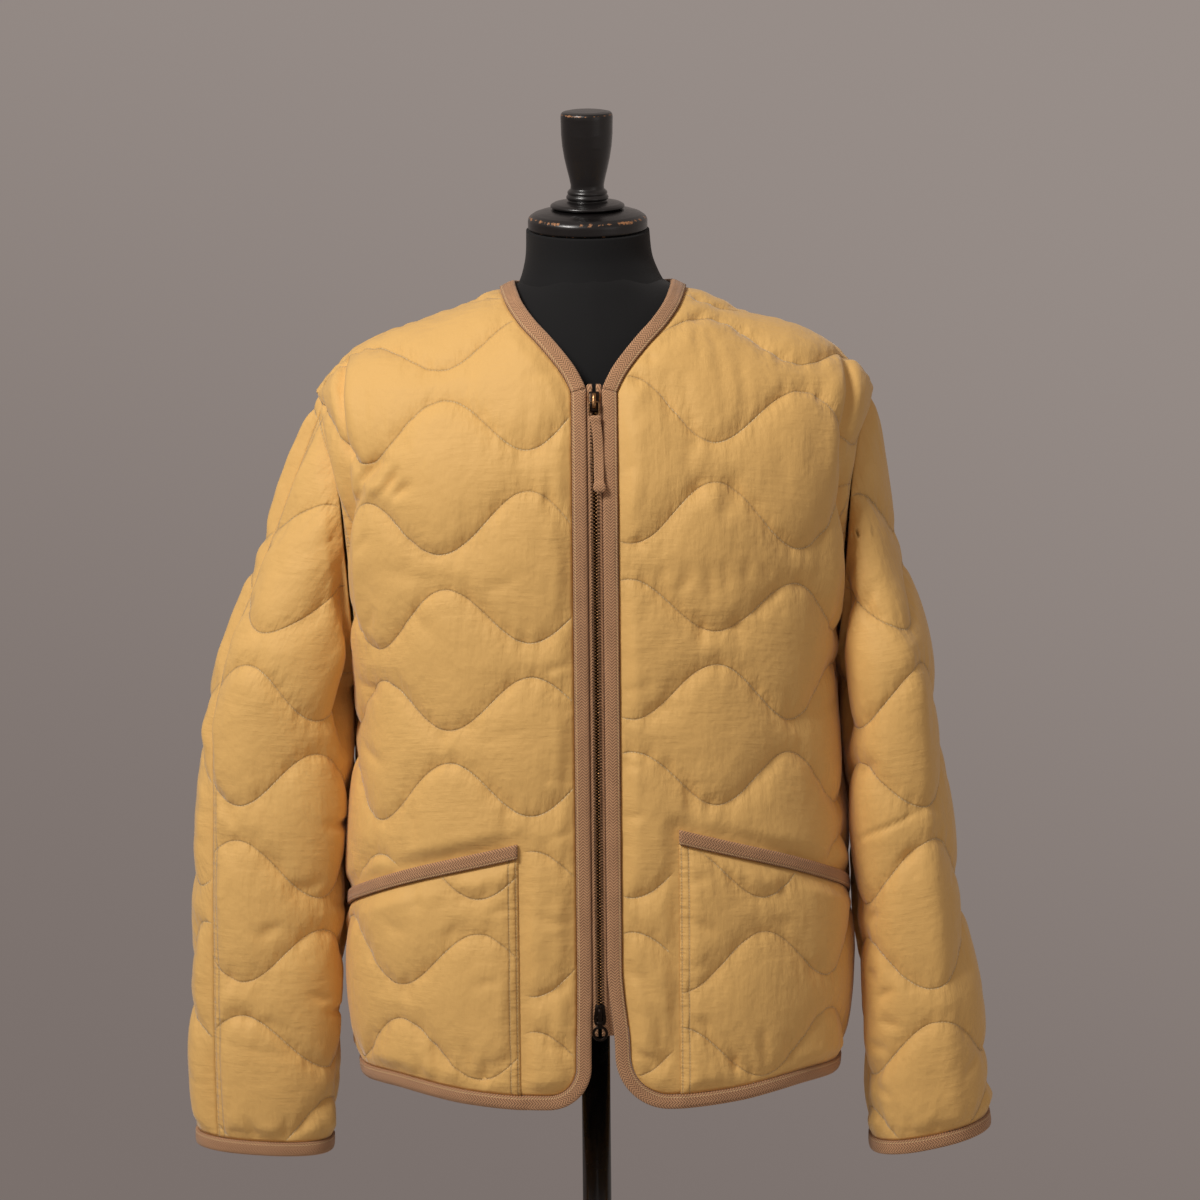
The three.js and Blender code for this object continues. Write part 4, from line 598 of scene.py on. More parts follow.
def panel_creases(piece):
    """Creases of a panel in cloth distances; those of fronts and pockets are placed in front view."""
    if piece in PANEL_CREASES:
        return PANEL_CREASES[piece]
    side = -1 if piece.endswith("left") else 1
    rows = np.array(FRONT_CREASES[piece], float)
    for first in (0, 2):
        out, level = rows[:, first].copy(), rows[:, first + 1].copy()
        around = around_at(out, np.minimum(level, -91))
        rows[:, first], rows[:, first + 1] = side * around, up_at(around, level)
    return rows


# Meshes


def add_mesh(name, points, faces, uv=None, attributes=None, flat=False):
    """A mesh object at the origin, from points in millimetres, faces, and uv and attributes of the
    points."""
    mesh = bpy.data.meshes.new(name)
    mesh.from_pydata((np.asarray(points) * MM).tolist(), [], faces)
    corners = np.empty(len(mesh.loops), int)
    mesh.loops.foreach_get("vertex_index", corners)
    if uv is not None:
        layer = mesh.uv_layers.new(name="cloth")
        layer.data.foreach_set("uv", (np.asarray(uv)[corners] * MM).astype(np.float32).ravel())
    for key, values in (attributes or {}).items():
        mesh.attributes.new(key, "FLOAT", "POINT").data.foreach_set("value", np.asarray(values, np.float32))
    mesh.polygons.foreach_set("use_smooth", np.full(len(mesh.polygons), not flat))
    mesh.validate()
    obj = bpy.data.objects.new(name, mesh)
    bpy.context.scene.collection.objects.link(obj)
    return obj


def grid_faces(rows, columns, start=0, turned=False, wrap=False):
    """Four-cornered faces of a grid of points, row by row. wrap joins the last column to the first."""
    wide = columns if wrap else columns - 1
    row, col = np.meshgrid(np.arange(rows - 1), np.arange(wide), indexing="ij")
    after = (col + 1) % columns
    a, b = row * columns + col, row * columns + after
    c, d = (row + 1) * columns + after, (row + 1) * columns + col
    quads = np.stack([a, b, c, d], -1).reshape(-1, 4) + start
    return (quads[:, ::-1] if turned else quads).tolist()


def sheet_mesh(name, place, s, h, outer, inner, uv, attributes):
    """Closed wall over a grid of cloth points, at outer and inner heights and joined round the rim."""
    if s[len(s) // 2, 0] > s[len(s) // 2, -1]:
        s, h, outer, inner, uv = s[:, ::-1], h[:, ::-1], outer[:, ::-1], inner[:, ::-1], uv[:, ::-1]
        attributes = {key: values[:, ::-1] for key, values in attributes.items()}
    base, normal = place(s, h), outward(place, s, h)
    rows, columns = s.shape
    top = base + normal * outer[..., None]
    back = base + normal * inner[..., None]
    count = rows * columns
    index = np.arange(count).reshape(rows, columns)
    rim = np.concatenate([index[0, :-1], index[:-1, -1], index[-1, :0:-1], index[:0:-1, 0]])
    after = np.roll(rim, -1)
    walls = np.stack([rim, rim + count, after + count, after], -1).tolist()
    faces = grid_faces(rows, columns) + grid_faces(rows, columns, count, turned=True) + walls
    points = np.concatenate([top.reshape(-1, 3), back.reshape(-1, 3)])
    flat_uv = uv.reshape(-1, 2)
    doubled = {key: np.tile(values.ravel(), 2) for key, values in attributes.items()}
    return add_mesh(name, points, faces, np.concatenate([flat_uv, flat_uv]), doubled)


def tube_mesh(name, rings, wear=0.0, uv=None, loop=False):
    """Closed rings of points joined one to the next, with flat ends, or joined round where loop is true."""
    count, size, _ = rings.shape
    faces = grid_faces(count, size, wrap=True)
    if loop:
        last = (count - 1) * size
        j = np.arange(size)
        after = (j + 1) % size
        faces += np.stack([last + j, last + after, after, j], -1).tolist()
    else:
        faces += [list(range(size))[::-1], list(range((count - 1) * size, count * size))]
    points = rings.reshape(-1, 3)
    if signed_volume(points, faces) < 0:
        faces = [face[::-1] for face in faces]
    return add_mesh(name, points, faces, uv, {"wear": np.broadcast_to(wear, len(points))})


def signed_volume(points, faces):
    quads = np.array([f for f in faces if len(f) == 4])
    a, b, c, d = (points[quads[:, k]] for k in range(4))
    return (np.cross(b - a, c - a) * a).sum() + (np.cross(c - a, d - a) * a).sum()


def joined(name, objects):
    """Several objects made one mesh."""
    with bpy.context.temp_override(active_object=objects[0], selected_editable_objects=objects):
        bpy.ops.object.join()
    objects[0].name = objects[0].data.name = name
    return objects[0]


# Shader expressions


class Value:
    """A socket that adds its own Math node when it is used in an expression."""

    def __init__(self, finish, socket):
        self.finish, self.socket = finish, socket

    def math(self, operation, *others):
        return self.finish.node("ShaderNodeMath", {"operation": operation}, [self, *others])

    def __add__(self, other):
        return self.math("ADD", other)

    def __sub__(self, other):
        return self.math("SUBTRACT", other)

    def __rsub__(self, other):
        return self.finish.node("ShaderNodeMath", {"operation": "SUBTRACT"}, [other, self])

    def __mul__(self, other):
        return self.math("MULTIPLY", other)

    def __truediv__(self, other):
        return self.math("DIVIDE", other)

    def __mod__(self, other):
        return self.math("FLOORED_MODULO", other)

    def __lt__(self, other):
        return self.math("LESS_THAN", other)

    def __gt__(self, other):
        return self.math("GREATER_THAN", other)

    def __abs__(self):
        return self.math("ABSOLUTE")

    __radd__ = __add__
    __rmul__ = __mul__

    def least(self, other):
        return self.math("MINIMUM", other)

    def ramp(self, low, high, start=0.0, end=1.0):
        """Smooth step from start, at low, to end, at high."""
        settings = {"interpolation_type": "SMOOTHSTEP"}
        return self.finish.node("ShaderNodeMapRange", settings, [self, low, high, start, end])


class Finish:
    """A material whose nodes are added by expressions."""

    def __init__(self, name, **constants):
        self.material = bpy.data.materials.new(name)
        self.material.use_nodes = True
        self.tree = self.material.node_tree
        self.surface = self.tree.nodes["Principled BSDF"]
        for key, value in constants.items():
            self.surface.inputs[key.replace("_", " ")].default_value = value

    def node(self, kind, settings, inputs, output=0):
        """A node of a type with its settings, socket values or links, and the output that is used."""
        node = self.tree.nodes.new(kind)
        for key, value in settings.items():
            setattr(node, key, value)
        for key, value in inputs.items() if isinstance(inputs, dict) else enumerate(inputs):
            if isinstance(value, Value):
                self.tree.links.new(value.socket, node.inputs[key])
            else:
                node.inputs[key].default_value = value
        return Value(self, node.outputs[output])

    def attribute(self, name):
        return self.node("ShaderNodeAttribute", {"attribute_name": name}, [], "Fac")

    def cloth(self):
        """Cloth distances in metres, as a vector and as two values."""
        vector = self.node("ShaderNodeUVMap", {"uv_map": "cloth"}, [])
        return vector, self.part(vector, 0), self.part(vector, 1)

    def place(self):
        return self.node("ShaderNodeTexCoord", {}, [], "Object")

    def part(self, vector, index):
        return self.node("ShaderNodeSeparateXYZ", {}, [vector], index)

    def vector(self, x, y, z=0.0):
        return self.node("ShaderNodeCombineXYZ", {}, [x, y, z])

    def scaled(self, vector, x, y, z=1.0):
        return self.node("ShaderNodeVectorMath", {"operation": "MULTIPLY"}, [vector, (x, y, z)])

    def noise(self, vector, scale, detail=2.0, roughness=0.5):
        inputs = {"Vector": vector, "Scale": scale, "Detail": detail, "Roughness": roughness}
        return self.node("ShaderNodeTexNoise", {}, inputs, "Fac")

    def mix(self, factor, first, second):
        inputs = {0: factor, 6: self.rgba(first), 7: self.rgba(second)}
        return self.node("ShaderNodeMix", {"data_type": "RGBA"}, inputs, 2)

    def rgba(self, colour):
        return colour if isinstance(colour, Value) else (*colour[:3], 1.0)

    def finish(self, colour, roughness, height=None, strength=1.0, metallic=None):
        """Joins colour, roughness and a height in metres to the surface."""
        links = {"Base Color": colour, "Roughness": roughness}
        if metallic is not None:
            links["Metallic"] = metallic
        if height is not None:
            inputs = {"Height": height, "Distance": 1.0, "Strength": strength}
            links["Normal"] = self.node("ShaderNodeBump", {}, inputs, "Normal")
        for key, value in links.items():
            socket = self.surface.inputs[key]
            if isinstance(value, Value):
                self.tree.links.new(value.socket, socket)
            elif key == "Base Color":
                socket.default_value = self.rgba(value)
            else:
                socket.default_value = value
        return self.material


def dashes(run, away, pitch, width):
    """1 on the threads of a row of stitches, 0 in the holes between them."""
    return ((run % pitch) > pitch * 0.3) * (away < width)


def quilted_cloth(colour, thread):
    """Padded nylon: stitch lines from cloth distances, puckers beside them and a fine plain weave, with
    painted shade in the stitch grooves and seam rows.
    """
    f = Finish("quilted_cloth", Sheen_Weight=0.25, Sheen_Roughness=0.4, Specular_IOR_Level=0.35)
    vector, s, h = f.cloth()
    pitch, swing, turn = QUILT_PITCH * MM, QUILT_SWING * MM, 2 * math.pi / (QUILT_WAVE * MM)
    wave = (s * turn).math("COSINE") * swing
    even, odd = (h - wave) % (2 * pitch), (h - pitch + wave) % (2 * pitch)
    steep = (s * turn).math("SINE") * (swing * turn)
    away = even.least(odd).least((2 * pitch - even).least(2 * pitch - odd))
    near = away / (steep * steep + 1.0).math("SQRT")
    seam, run = f.attribute("seam"), f.attribute("run")
    quilted = f.attribute("quilted")

    row = abs(abs(seam - 0.0045) - 0.0028)
    groove = (near / -0.0009).math("EXPONENT") * quilted
    sewn = (row / -0.0008).math("EXPONENT")
    patch = f.noise(f.scaled(vector, 16, 16), 1.0, 1.0).ramp(0.42, 0.58)
    threads = dashes(s, near, 0.0026, 0.0005) * (quilted > 0.5) * (patch * 0.6 + 0.4)
    tops = dashes(run, row, 0.0026, 0.0005)

    pucker_reach = (near / -0.012).math("EXPONENT") * quilted
    puckers = f.noise(f.scaled(vector, 120, 42), 1.0, 3.0) - 0.5
    seam_noise = f.noise(f.scaled(f.vector(run, seam), 150, 40), 1.0, 2.0) - 0.5
    seam_puckers = seam_noise * (seam / -0.009).math("EXPONENT")
    soft = f.noise(f.scaled(vector, 34, 30), 1.0, 3.0, 0.55) - 0.5
    upright = f.noise(f.scaled(vector, 150, 22), 1.0, 3.0, 0.6) - 0.5
    level = f.noise(f.scaled(vector, 24, 170), 1.0, 3.0, 0.6) - 0.5
    crinkle = upright * patch + level * (1.0 - patch)
    slub = f.noise(f.scaled(vector, 260, 1900), 1.0) + f.noise(f.scaled(vector, 1900, 300), 1.0)
    height = (
        groove * -0.0009 + sewn * -0.0009 + puckers * pucker_reach * 0.0032
        + seam_puckers * 0.003 + soft * 0.0028 + crinkle * 0.0007
        + slub * 0.00013 + (threads + tops) * 0.0003
    )
    grain = slub * 0.13 + 0.87 + soft * 0.06 + crinkle * 0.03
    # Painted shade: stitch grooves and sewn seam rows are darkened towards dark, a warm brown, on top of
    # their bump.
    shade = (1.0 - groove * 0.26 - sewn * 0.26) * grain
    dark = (colour[0] * 0.5, colour[1] * 0.34, colour[2] * 0.2)
    base = f.mix(shade.least(1.0), dark, colour)
    base = f.mix(threads * 0.75 + tops * 0.4, base, thread)
    return f.finish(base, 0.62 + slub * 0.04, height)


def herringbone_tape(name, colour, thread, stitch_at=None):
    """Twill tape: slanting ribs that turn over every 3 mm, and stitches near its inner edge."""
    f = Finish(name, Sheen_Weight=0.15, Specular_IOR_Level=0.3)
    vector, run, across = f.cloth()
    column_at = across % 0.006 - 0.003
    slant = (run + abs(column_at)) % 0.0024
    rib = (abs(slant - 0.0012) / 0.0012).ramp(0.2, 0.8)
    valley = (abs(abs(column_at) - 0.0015) / 0.0015).ramp(0.75, 1.0)
    fuzz = f.noise(f.scaled(vector, 900, 900), 1.0, 3.0)
    patch = f.noise(f.scaled(vector, 45, 120), 1.0, 2.0)
    shade = rib * 0.55 + fuzz * 0.3 + patch * 0.35 - valley * 0.15
    dark, pale = [c * 0.52 for c in colour], [min(1, c * 1.3) for c in colour]
    base = f.mix(shade.ramp(0.2, 0.95), dark, pale)
    height = rib * 0.00022 + fuzz * 0.0002 + patch * 0.0006
    if stitch_at is not None:
        away = abs(across - stitch_at)
        base = f.mix(dashes(run, away, 0.0028, 0.0004) * 0.5, base, thread)
        height = height - (away / -0.0006).math("EXPONENT") * 0.0005
    return f.finish(base, 0.85, height)


def zip_metal(name, colour, bright, edge):
    """Antique plating: dark in the hollows and bright where the wear attribute is high, partly metal rubbed
    bright and partly painted glints, with fine mottle adding painted sparkle specks.
    """
    f = Finish(name, Specular_IOR_Level=0.5)
    place = f.place()
    mottle = f.noise(place, 900.0, 3.0)
    # worn is partly rubbed metal and partly painted glint and sparkle on the faces turned out.
    worn = (f.attribute("wear") * edge + mottle * 0.5).ramp(0.45, 0.85)
    return f.finish(f.mix(worn, colour, bright), 0.42 - worn * 0.12, mottle * 0.0001, metallic=0.85)


def form_cloth(colour):
    """Black jersey: a fine upright rib with a little lint."""
    f = Finish("form_cloth", Sheen_Weight=0.08, Sheen_Roughness=0.5, Specular_IOR_Level=0.2)
    place = f.place()
    rib = f.noise(f.scaled(place, 1400, 1400, 260), 1.0, 2.0)
    lint = f.noise(place, 420.0, 4.0).ramp(0.7, 0.8)
    soft = f.noise(place, 14.0, 2.0)
    jersey = f.mix(soft, colour, [c * 1.5 for c in colour])
    base = f.mix(lint * 0.3, jersey, [c * 5 for c in colour])
    return f.finish(base, 0.85, rib * 0.00015)


def painted_wood(colour, bare):
    """Black paint over wood, rubbed brown on the rims and in small chips, with fine scratches."""
    f = Finish("painted_wood", Coat_Weight=0.4, Coat_Roughness=0.22)
    place = f.place()
    chips = f.noise(place, 180.0, 4.0, 0.65)
    worn = (f.attribute("wear") * 0.5 + chips * 0.75).ramp(0.8, 0.86)
    streak = f.noise(f.scaled(place, 60, 60, 700), 1.0, 3.0)
    scratch = f.noise(f.scaled(place, 900, 900, 60), 1.0, 2.0).ramp(0.72, 0.78) * 0.25
    paint = f.mix(streak * 0.5 + scratch, colour, [c * 3 for c in colour])
    height = (chips + streak * 0.3) * 0.00015 - worn * 0.0002
    return f.finish(f.mix(worn, paint, bare), 0.24 + streak * 0.2 + worn * 0.3, height)


def black_enamel(colour, reflection_brown):
    """Black enamelled steel, glossy, with worn specks and a brown painted reflection stripe down its left
    side.
    """
    f = Finish("black_enamel", Coat_Weight=0.3, Coat_Roughness=0.15)
    place = f.place()
    # Painted reflection: a brown stripe down the pole's left side as seen from the front, broken up by noise.
    side = (abs(f.part(place, 0) + 0.0145) / -0.003).math("EXPONENT")
    stripe = side * f.noise(f.scaled(place, 200, 200, 40), 1.0, 3.0).ramp(0.35, 0.65)
    specks = f.noise(f.scaled(place, 700, 700, 420), 1.0, 3.0, 0.7).ramp(0.7, 0.74)
    specks = specks * f.noise(f.scaled(place, 30, 30, 14), 1.0, 1.0).ramp(0.48, 0.6)
    base = f.mix(stripe.least(1.0) * 0.8, colour, reflection_brown)
    base = f.mix(specks * 0.8, base, [0.5, 0.47, 0.42])
    return f.finish(base, 0.2 + specks * 0.4 + f.noise(place, 60.0, 3.0) * 0.12)


def pale_floor(colour):
    f = Finish("pale_floor")
    return f.finish(f.mix(f.noise(f.place(), 2.0, 3.0) * 0.5, colour, [c * 0.95 for c in colour]), 0.9)


def grey_dome(low, high):
    """Backdrop that glows softly, lighter up and to the viewer's right."""
    f = Finish("grey_dome", Base_Color=(0, 0, 0, 1), Roughness=1, Specular_IOR_Level=0, Emission_Strength=1)
    place = f.place()
    rise = (f.part(place, 2) + f.part(place, 0) * 0.4).ramp(-3.0, 3.4)
    f.tree.links.new(f.mix(rise, low, high).socket, f.surface.inputs["Emission Color"])
    return f.material


def dressed(obj, material, node=None, body=ROOT):
    """Gives a piece its material and body, and hides the node that it stands for."""
    obj.data.materials.clear()
    obj.data.materials.append(material)
    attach(obj, body)
    if node:
        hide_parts(node)
    return obj


# Settings


def colour_property(label, use, default):
    return bpy.props.FloatVectorProperty(
        name=label, description=use, subtype="COLOR", size=3, min=0, max=1, default=default
    )


class JacketSettings(bpy.types.PropertyGroup):
    """Sizes and colours of the jacket"""

    cloth: colour_property("Cloth", "Colour of the quilted cloth", linear(230, 184, 110))
    thread: colour_property("Thread", "Colour of the stitches", linear(243, 214, 160))
    tape: colour_property("Tape", "Colour of the edge tape", linear(184, 140, 104))
    metal: colour_property("Zip metal", "Colour of the zip in its hollows", linear(52, 40, 32))
    # Bright zip colour: rubbed metal, and painted glints on the faces turned out.
    bright: colour_property("Rubbed metal and painted glints", "Colour of the zip where it is rubbed and where glints are painted", linear(196, 146, 96))
    rise: bpy.props.FloatProperty(
        name="Quilt rise", description="Height of the padding", unit="LENGTH", default=5.2 * MM, min=0
    )


class StandSettings(bpy.types.PropertyGroup):
    """Colours of the dress form"""

    jersey: colour_property("Jersey", "Colour of the torso's cover", linear(20, 20, 21))
    wood: colour_property("Paint", "Colour of the cap and finial", linear(13, 11, 11))
    bare: colour_property("Bare wood", "Colour of the rubbed rims", linear(168, 116, 74))
    enamel: colour_property("Enamel", "Colour of the pole and foot", linear(8, 7, 7))
    # Colour of the painted reflection stripe on the pole.
    reflection_brown: colour_property("Painted reflection", "Colour of the pole's rubbed stripe", linear(74, 52, 38))


class StageSettings(bpy.types.PropertyGroup):
    """Camera, lights and backdrop"""

    low: colour_property("Backdrop below", "Colour of the dome low down", linear(122, 112, 108))
    high: colour_property("Backdrop above", "Colour of the dome high up", linear(152, 142, 137))
    floor: colour_property("Floor", "Colour of the floor", linear(205, 200, 194))
    key: bpy.props.FloatProperty(
        name="Key light", description="Watts of the main soft light", unit="POWER", default=76, min=0
    )
    fill: bpy.props.FloatProperty(
        name="Fill light", description="Watts of the second soft light", unit="POWER", default=3, min=0
    )
    distance: bpy.props.FloatProperty(
        name="Camera distance", description="From the camera to the jacket", unit="LENGTH", default=2.6, min=1
    )


# Cloth


def front_edge(half):
    """Free edge of one front: the neckline from the shoulder down, and the rest from there to the
    side seam."""
    level = np.linspace(0, NECK_BOTTOM, 61)
    around = around_at(column(NECK_ROWS, level), level)
    start = around_at(np.array(NECK_HALF_WIDTH), np.array(0.0))
    neck = np.vstack([[start, shoulder_top(start)], np.stack([around, up_at(around, level)], -1)])
    foot = FRONT_EDGE + half["sweep"]
    corner = half["corner"]
    bottom = column(HEM_ROWS, foot + corner) - SHOULDER_START
    t = np.linspace(0, 1, 61)
    top = up_at(np.array(0.0), np.array(float(NECK_BOTTOM))) - SEAM
    drift = FRONT_EDGE + half["sweep"] * smooth(t, 0.86, 1)
    down = np.stack([drift, top + (bottom + corner - top) * t], -1)
    angle = np.linspace(0, np.pi / 2, 17)[1:]
    centre = np.array([foot + corner, bottom + corner])
    turn = centre - corner * np.stack([np.cos(angle), np.sin(angle)], -1)
    around = np.linspace(foot + corner, SIDE, 61)[1:]
    along = np.stack([around, column(HEM_ROWS, around) - SHOULDER_START], -1)
    return neck, np.vstack([down, turn, along])


def edge_tapes(half):
    """Fold line and inner side of the neck tape and of the front and hem tape, mitred where they meet."""
    neck, rest = front_edge(half)
    slant = neck[-1] - neck[-3]
    slant /= np.linalg.norm(slant)
    mitre = np.array([1 - slant[1], slant[0]])
    mitre *= TAPE_WIDTH / mitre[0]
    runs = []
    for edge in (neck, rest):
        line = evenly(edge, GRID)
        runs.append([line, moved(line, TAPE_WIDTH)])
    runs[0][1][0][1] = shoulder_top(runs[0][1][0][0])
    runs[0][1][-1] = rest[0] + mitre + [0, SEAM]
    runs[1][1][0] = rest[0] + mitre
    runs[1][1][-1][0] = SIDE
    return runs


def pocket_top(name, around):
    return column(POCKET_ROWS[name], around) - SHOULDER_START


def front_outline(name):
    """Four edges of a front in cloth distances: hem, side with armhole, shoulder, front with neckline."""
    (_, neck), (_, rest) = edge_tapes(SIDES[name])
    edge = moved(np.vstack([neck, rest[1:]]), SEAM)
    # Front edge and hem part in the rounded corner, 12 mm in from the straight
    aside = np.abs(edge[:, 0] - edge[:, 1] / 1e6 - (FRONT_EDGE + TAPE_WIDTH + 12))
    middle = np.argmin(aside + (edge[:, 1] > -300) * 1e3)
    left, bottom = edge[: middle + 1][::-1], edge[middle:]
    bottom[-1, 0] = SIDE - SEAM / 2
    share = np.linspace(0.5, 0.004, 90)
    around, up = armhole_cloth(1, share)
    right = np.vstack([[bottom[-1]], np.stack([around, up], -1)])
    right[:, 0] = np.minimum(right[:, 0], SIDE - SEAM / 2)
    left[-1, 1] = shoulder_top(left[-1, 0]) - SEAM / 2
    across = np.linspace(left[-1, 0], right[-1, 0], 60)
    top = np.stack([across, shoulder_top(across) - SEAM / 2], -1)
    right[-1] = top[-1]
    return bottom, evenly(right, 2), top, left


def stitch_sag(s, h):
    """How far a front's stitch lines hang below even ones, more towards the shoulder and the side."""
    aside = smooth(np.abs(s), 100, 210) * smooth(h, -450, -300)
    return 8 * np.clip((h + 200) / 120, 0, 1.3) + 12 * aside


def wall_and_rise(piece, s, h, edges, sewn, rise, seed, base=0.0, wall=CLOTH, covered=None):
    """Outer and inner heights, uv and attributes of a quilted wall whose edges roll down to the seams."""
    quilt = QUILTS[piece]
    whole, _ = edge_distance(s, h, edges)
    seam, run = edge_distance(s, h, sewn) if sewn else (np.full(s.shape, 1e3), np.zeros(s.shape))
    # The stitch lines wander a little, as sewn ones do
    warped_s = s + 3 * ripple(s, h, seed + 20, 190)
    warped_h = h + 3 * ripple(s, h, seed + 40, 170)
    if piece.startswith("front"):
        warped_h += stitch_sag(s, h)
    quilted = smooth(whole, 1, QUILT_EDGE)
    free = np.ones(s.shape) if covered is None else covered
    close = 1 - 0.45 * smooth(h, 60, 300) if base == 0 and not piece.startswith("sleeve") else 1
    body = puff(quilt, warped_s, warped_h, rise) * quilted * free * close
    creases = fold(s, h, panel_creases(piece)) * smooth(whole, 0, 6)
    below, above, _ = quilt_bands(quilt, warped_s, warped_h)
    puckered = np.exp(-np.minimum(below, above) / 14) + 1.3 * np.exp(-whole / 16)
    crumple = 1.7 * ripple(s, 0.45 * h, seed + 60, 15) * puckered
    swell = (0.9 * ripple(s, h, seed, 90) + crumple) * quilted
    roll = -1.3 * np.exp(-((whole / 2.6) ** 2))
    outer = base + body + (creases + swell) * free + roll
    edge_wall = np.minimum(1, 0.25 + whole / 6)
    inner = base - wall * edge_wall + np.minimum(creases, 0) * free + roll * 0.6
    level, crest = quilt
    uv = np.stack([warped_s - crest, warped_h - level], -1)
    attributes = {"seam": seam * MM, "run": run * MM, "quilted": smooth(whole, 0.5, 4) * free}
    inner = np.minimum(inner, outer - 0.4)
    return outer, np.maximum(inner, 0.2) if base else inner, uv, attributes


def make_panel(node, cloth, place, s, h, edges, held, rests_on, **wall):
    """One quilted panel between its edges: hem, right, top and left."""
    piece = node if node in QUILTS else node.rsplit("_", 1)[0]
    obj = sheet_mesh(node + "_cloth", place, s, h, *wall_and_rise(piece, s, h, edges, **wall))
    dressed(obj, cloth, node)


def make_fronts(cloth, rise):
    for number, (name, half) in enumerate(SIDES.items()):
        bottom, right, top, left = front_outline(name)
        s, h = between_edges(bottom, right, top, left)
        aside = smooth(s - (POCKET_INNER - 1), -QUILT_EDGE, 0)
        inside = aside * smooth(pocket_top(name, s) - h, -QUILT_EDGE, 0)
        mirror = np.array([half["side"], 1])
        armhole = right[right[:, 1] > UNDERARM] * mirror
        edges = [line * mirror for line in (bottom, right, top, left)]
        make_panel(
            "front_" + name, cloth, body_place, half["side"] * s, h, edges, "draped", "form_torso",
            sewn=[armhole], rise=rise, seed=3 + number, covered=1 - inside,
        )


def pocket_hem(name):
    """Lower edge of a pocket, along the inner side of the hem tape."""
    _, (_, rest) = edge_tapes(SIDES[name])
    hem = moved(rest, SEAM)
    hem = hem[(hem[:, 1] < -440) & (hem[:, 0] > POCKET_INNER - 20)]
    return hem[np.argsort(hem[:, 0])]


def make_pockets(cloth, rise):
    for number, (name, half) in enumerate(SIDES.items()):
        across = np.linspace(POCKET_INNER, SIDE - SEAM / 2, 60)
        bottom = np.stack([across, np.interp(across, *pocket_hem(name).T)], -1)
        top = np.stack([across, pocket_top(name, across) - TAPE_WIDTH], -1)
        left, right = np.array([bottom[0], top[0]]), np.array([bottom[-1], top[-1]])
        s, h = between_edges(bottom, right, top, left)
        mirror = np.array([half["side"], 1])
        edges = [line * mirror for line in (bottom, right, top, left)]
        make_panel(
            "pocket_" + name, cloth, body_place, half["side"] * s, h, edges,
            "stretched", "front_%s_cloth" % name,
            sewn=[edges[3]], rise=rise, seed=9 + number, base=SEAM + POCKET_WALL, wall=POCKET_WALL,
        )


def back_neck():
    turn = np.pi * np.linspace(0, 1, 161)
    out = NECK_HALF_WIDTH * np.cos(turn)
    around = around_at(np.abs(out), np.zeros(len(out)))
    _, depth, length = shoulder_arc(body_angle(around))
    up = np.arccos(np.clip(NECK_BACK_DEPTH * np.sin(turn) / depth, 0, 1)) * length
    return evenly(np.stack([2 * SIDE - np.sign(out) * around, up], -1), GRID)


def back_hem():
    around = np.linspace(SIDE, 3 * SIDE, 161)
    level = column(HEM_ROWS, np.minimum(around, 4 * SIDE - around))
    return evenly(np.stack([around, level - SHOULDER_START], -1), GRID)


def make_back(cloth, rise):
    bottom = moved(back_hem(), TAPE_WIDTH + SEAM)
    bottom[0, 0], bottom[-1, 0] = SIDE + SEAM / 2, 3 * SIDE - SEAM / 2
    neck = moved(back_neck(), -TAPE_WIDTH - SEAM)
    around, up = armhole_cloth(1, np.linspace(0.5, 0.996, 90))
    left, right = (
        evenly(np.vstack([[start], np.stack([away, up], -1)]), 2)
        for start, away in ((bottom[0], around), (bottom[-1], 4 * SIDE - around))
    )
    for line in (left, right):
        line[:, 0] = np.clip(line[:, 0], SIDE + SEAM / 2, 3 * SIDE - SEAM / 2)
        line[-1, 1] = shoulder_top(line[-1, 0]) - SEAM / 2
    shoulders = []
    for start, end in ((left[-1, 0], neck[0, 0]), (neck[-1, 0], right[-1, 0])):
        across = np.linspace(start, end, 50)
        shoulders.append(np.stack([across, shoulder_top(across) - SEAM / 2], -1))
    neck[0, 1] = neck[-1, 1] = shoulders[0][-1, 1]
    top = np.vstack([shoulders[0], neck[1:-1], shoulders[1]])
    s, h = between_edges(bottom, right, top, left, GRID * 1.15)
    armholes = [line[line[:, 1] > UNDERARM] for line in (left, right)]
    edges = [bottom, right, top, left]
    make_panel(
        "back", cloth, body_place, s, h, edges, "draped", "form_torso", sewn=armholes, rise=rise, seed=14
    )


def make_sleeves(cloth, rise):
    t = np.linspace(0, 1, round(SLEEVE_RUN / GRID) + 1)[:, None]
    u = np.linspace(0, 1, round(SLEEVE_ACROSS / GRID) + 1)[None, :]
    first = TAPE_WIDTH + SEAM
    for number, (name, sleeve) in enumerate(SLEEVES.items()):
        cuff, top = sleeve["seam"]
        seam = cuff + (top - cuff) * smooth(t, 0.2, 1)
        for piece, start, end in (("front", seam, 0.5), ("back", 0.5, 1 + seam)):
            share = start + (end - start) * u
            length = sleeve_line(sleeve, share)[1][-1]
            up = first + t * (length - 0.4 - TAPE_WIDTH - SEAM)
            s = -sleeve["side"] * share * sleeve_girth(sleeve, up)
            s = s - sleeve["side"] * SEAM / 2 * (1 - 2 * u)
            flat = np.stack([s, up], -1)
            edges = [flat[0], flat[:, -1], flat[-1], flat[:, 0]]
            make_panel(
                "sleeve_%s_%s" % (name, piece), cloth, sleeve_surface(sleeve), s, up, edges,
                "hung", "front_%s_cloth" % name,
                sewn=[edges[3]] if piece == "front" else None, rise=rise,
                seed=20 + 2 * number + (piece == "back"),
            )


# Tapes


